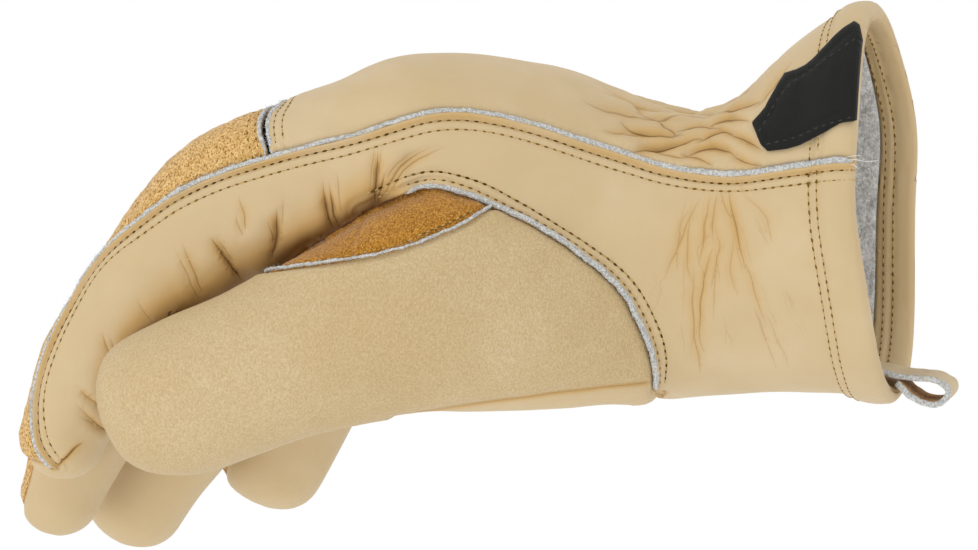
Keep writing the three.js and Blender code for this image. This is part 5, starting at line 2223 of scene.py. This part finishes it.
class GLOVE_OT_loop(bpy.types.Operator):
    """Folds the pull loop at the palm edge of the mouth"""

    bl_idname = "glove.loop"
    bl_label = "Pull loop"

    def execute(self, context):
        build_loop()
        return {"FINISHED"}


class GLOVE_OT_stage(bpy.types.Operator):
    """Sets the floor, the light and the camera"""

    bl_idname = "glove.stage"
    bl_label = "Stage"

    def execute(self, context):
        build_stage(context)
        return {"FINISHED"}


# The camera: where it looks, from where, and how long its lens is
VIEW_TARGET = (-0.1, 0.0, -0.0178)
VIEW_AZIMUTH = math.radians(12)
VIEW_HEIGHT = math.radians(4)
VIEW_DISTANCE = 1.1
SENSOR_WIDTH = 36
# The focal length in pixels of an image that is this wide
FOCAL_PIXELS = 4400
IMAGE_WIDTH = 978
VIEW_LENS = FOCAL_PIXELS / IMAGE_WIDTH * SENSOR_WIDTH
CLIP_END = 200.0
# Half the size of the floor, and its height
FLOOR_HALF = 60.0
FLOOR_HEIGHT = -0.32
# Strength of the pale surroundings, and the sun: its strength, its spread and where it shines
WORLD_STRENGTH = 0.94
SUN_STRENGTH = 0.3
SUN_SPREAD = math.radians(50)
SUN_WAY = (0.35, 0.55, -0.9)

# Soft lamps: name, place, size and power
LAMPS = (
    ("key", (-0.6, -1.1, 1.0), 0.9, 0.8),
    ("fill", (0.9, -1.0, 0.3), 0.9, 0.3),
    ("low", (-0.4, -1.0, -0.28), 0.5, 2.0),
    ("mouth", (0.75, -0.75, 0.12), 0.4, 0.2),
    ("under", (-0.34, -0.3, -0.3), 0.3, 0.22),
)


def aimed(way):
    """The rotation that points a camera or lamp along a direction."""
    return way.to_track_quat("-Z", "Y").to_euler()


def build_stage(context):
    scene = context.scene
    toward = Vector((
        math.sin(VIEW_AZIMUTH) * math.cos(VIEW_HEIGHT),
        -math.cos(VIEW_AZIMUTH) * math.cos(VIEW_HEIGHT),
        math.sin(VIEW_HEIGHT),
    ))
    camera = placed("camera", bpy.data.cameras.new("camera"))
    camera.data.lens = VIEW_LENS
    camera.data.sensor_width = SENSOR_WIDTH
    camera.data.sensor_fit = "HORIZONTAL"
    camera.data.clip_end = CLIP_END
    camera.location = Vector(VIEW_TARGET) + toward * VIEW_DISTANCE
    camera.rotation_euler = aimed(-toward)
    scene.camera = camera

    around_middle = ((-1, -1), (1, -1), (1, 1), (-1, 1))
    corners = [(x * FLOOR_HALF, y * FLOOR_HALF, FLOOR_HEIGHT) for x, y in around_middle]
    ground = bpy.data.meshes.new("floor")
    ground.from_pydata(corners, [], [(0, 1, 2, 3)])
    ground.materials.append(Maker("pale_floor").finish((0.98, 0.98, 0.98, 1), 0.9, 0.0))
    placed("floor", ground)

    scene.view_settings.view_transform = "Standard"
    world = bpy.data.worlds.new("studio")
    world.use_nodes = True
    light = world.node_tree.nodes["Background"].inputs
    light["Color"].default_value = (1, 1, 1, 1)
    light["Strength"].default_value = WORLD_STRENGTH
    scene.world = world
    for name, place, size, power in LAMPS:
        lamp = placed(name, bpy.data.lights.new(name, "AREA"))
        lamp.data.size = size
        lamp.data.energy = power
        lamp.location = place
        lamp.rotation_euler = aimed(Vector(VIEW_TARGET) - Vector(place))
    sun = placed("daylight", bpy.data.lights.new("daylight", "SUN"))
    sun.data.energy = SUN_STRENGTH
    sun.data.angle = SUN_SPREAD
    sun.rotation_euler = aimed(Vector(SUN_WAY))


OPERATORS = (
    GLOVE_OT_panels,
    GLOVE_OT_raw_edges,
    GLOVE_OT_label,
    GLOVE_OT_stitching,
    GLOVE_OT_lining,
    GLOVE_OT_loop,
    GLOVE_OT_stage,
)


class GLOVE_PT_panel(bpy.types.Panel):
    bl_idname = "GLOVE_PT_panel"
    bl_label = "Insulated driver glove"
    bl_space_type = "VIEW_3D"
    bl_region_type = "UI"
    bl_category = "Glove"

    def draw(self, context):
        layout = self.layout
        for group in (context.scene.glove_sizes, context.scene.glove_colours):
            for name in group.__annotations__:
                layout.prop(group, name)
        for operator in OPERATORS:
            layout.operator(operator.bl_idname)


CLASSES = (GloveSizes, GloveColours, *OPERATORS, GLOVE_PT_panel)


def register():
    for item in CLASSES:
        bpy.utils.register_class(item)
    bpy.types.Scene.glove_sizes = bpy.props.PointerProperty(type=GloveSizes)
    bpy.types.Scene.glove_colours = bpy.props.PointerProperty(type=GloveColours)


def unregister():
    del bpy.types.Scene.glove_colours
    del bpy.types.Scene.glove_sizes
    for item in reversed(CLASSES):
        bpy.utils.unregister_class(item)


def main():
    register()
    for operator in OPERATORS:
        group, name = operator.bl_idname.split(".")
        getattr(getattr(bpy.ops, group), name)()


if __name__ == "__main__":
    main()
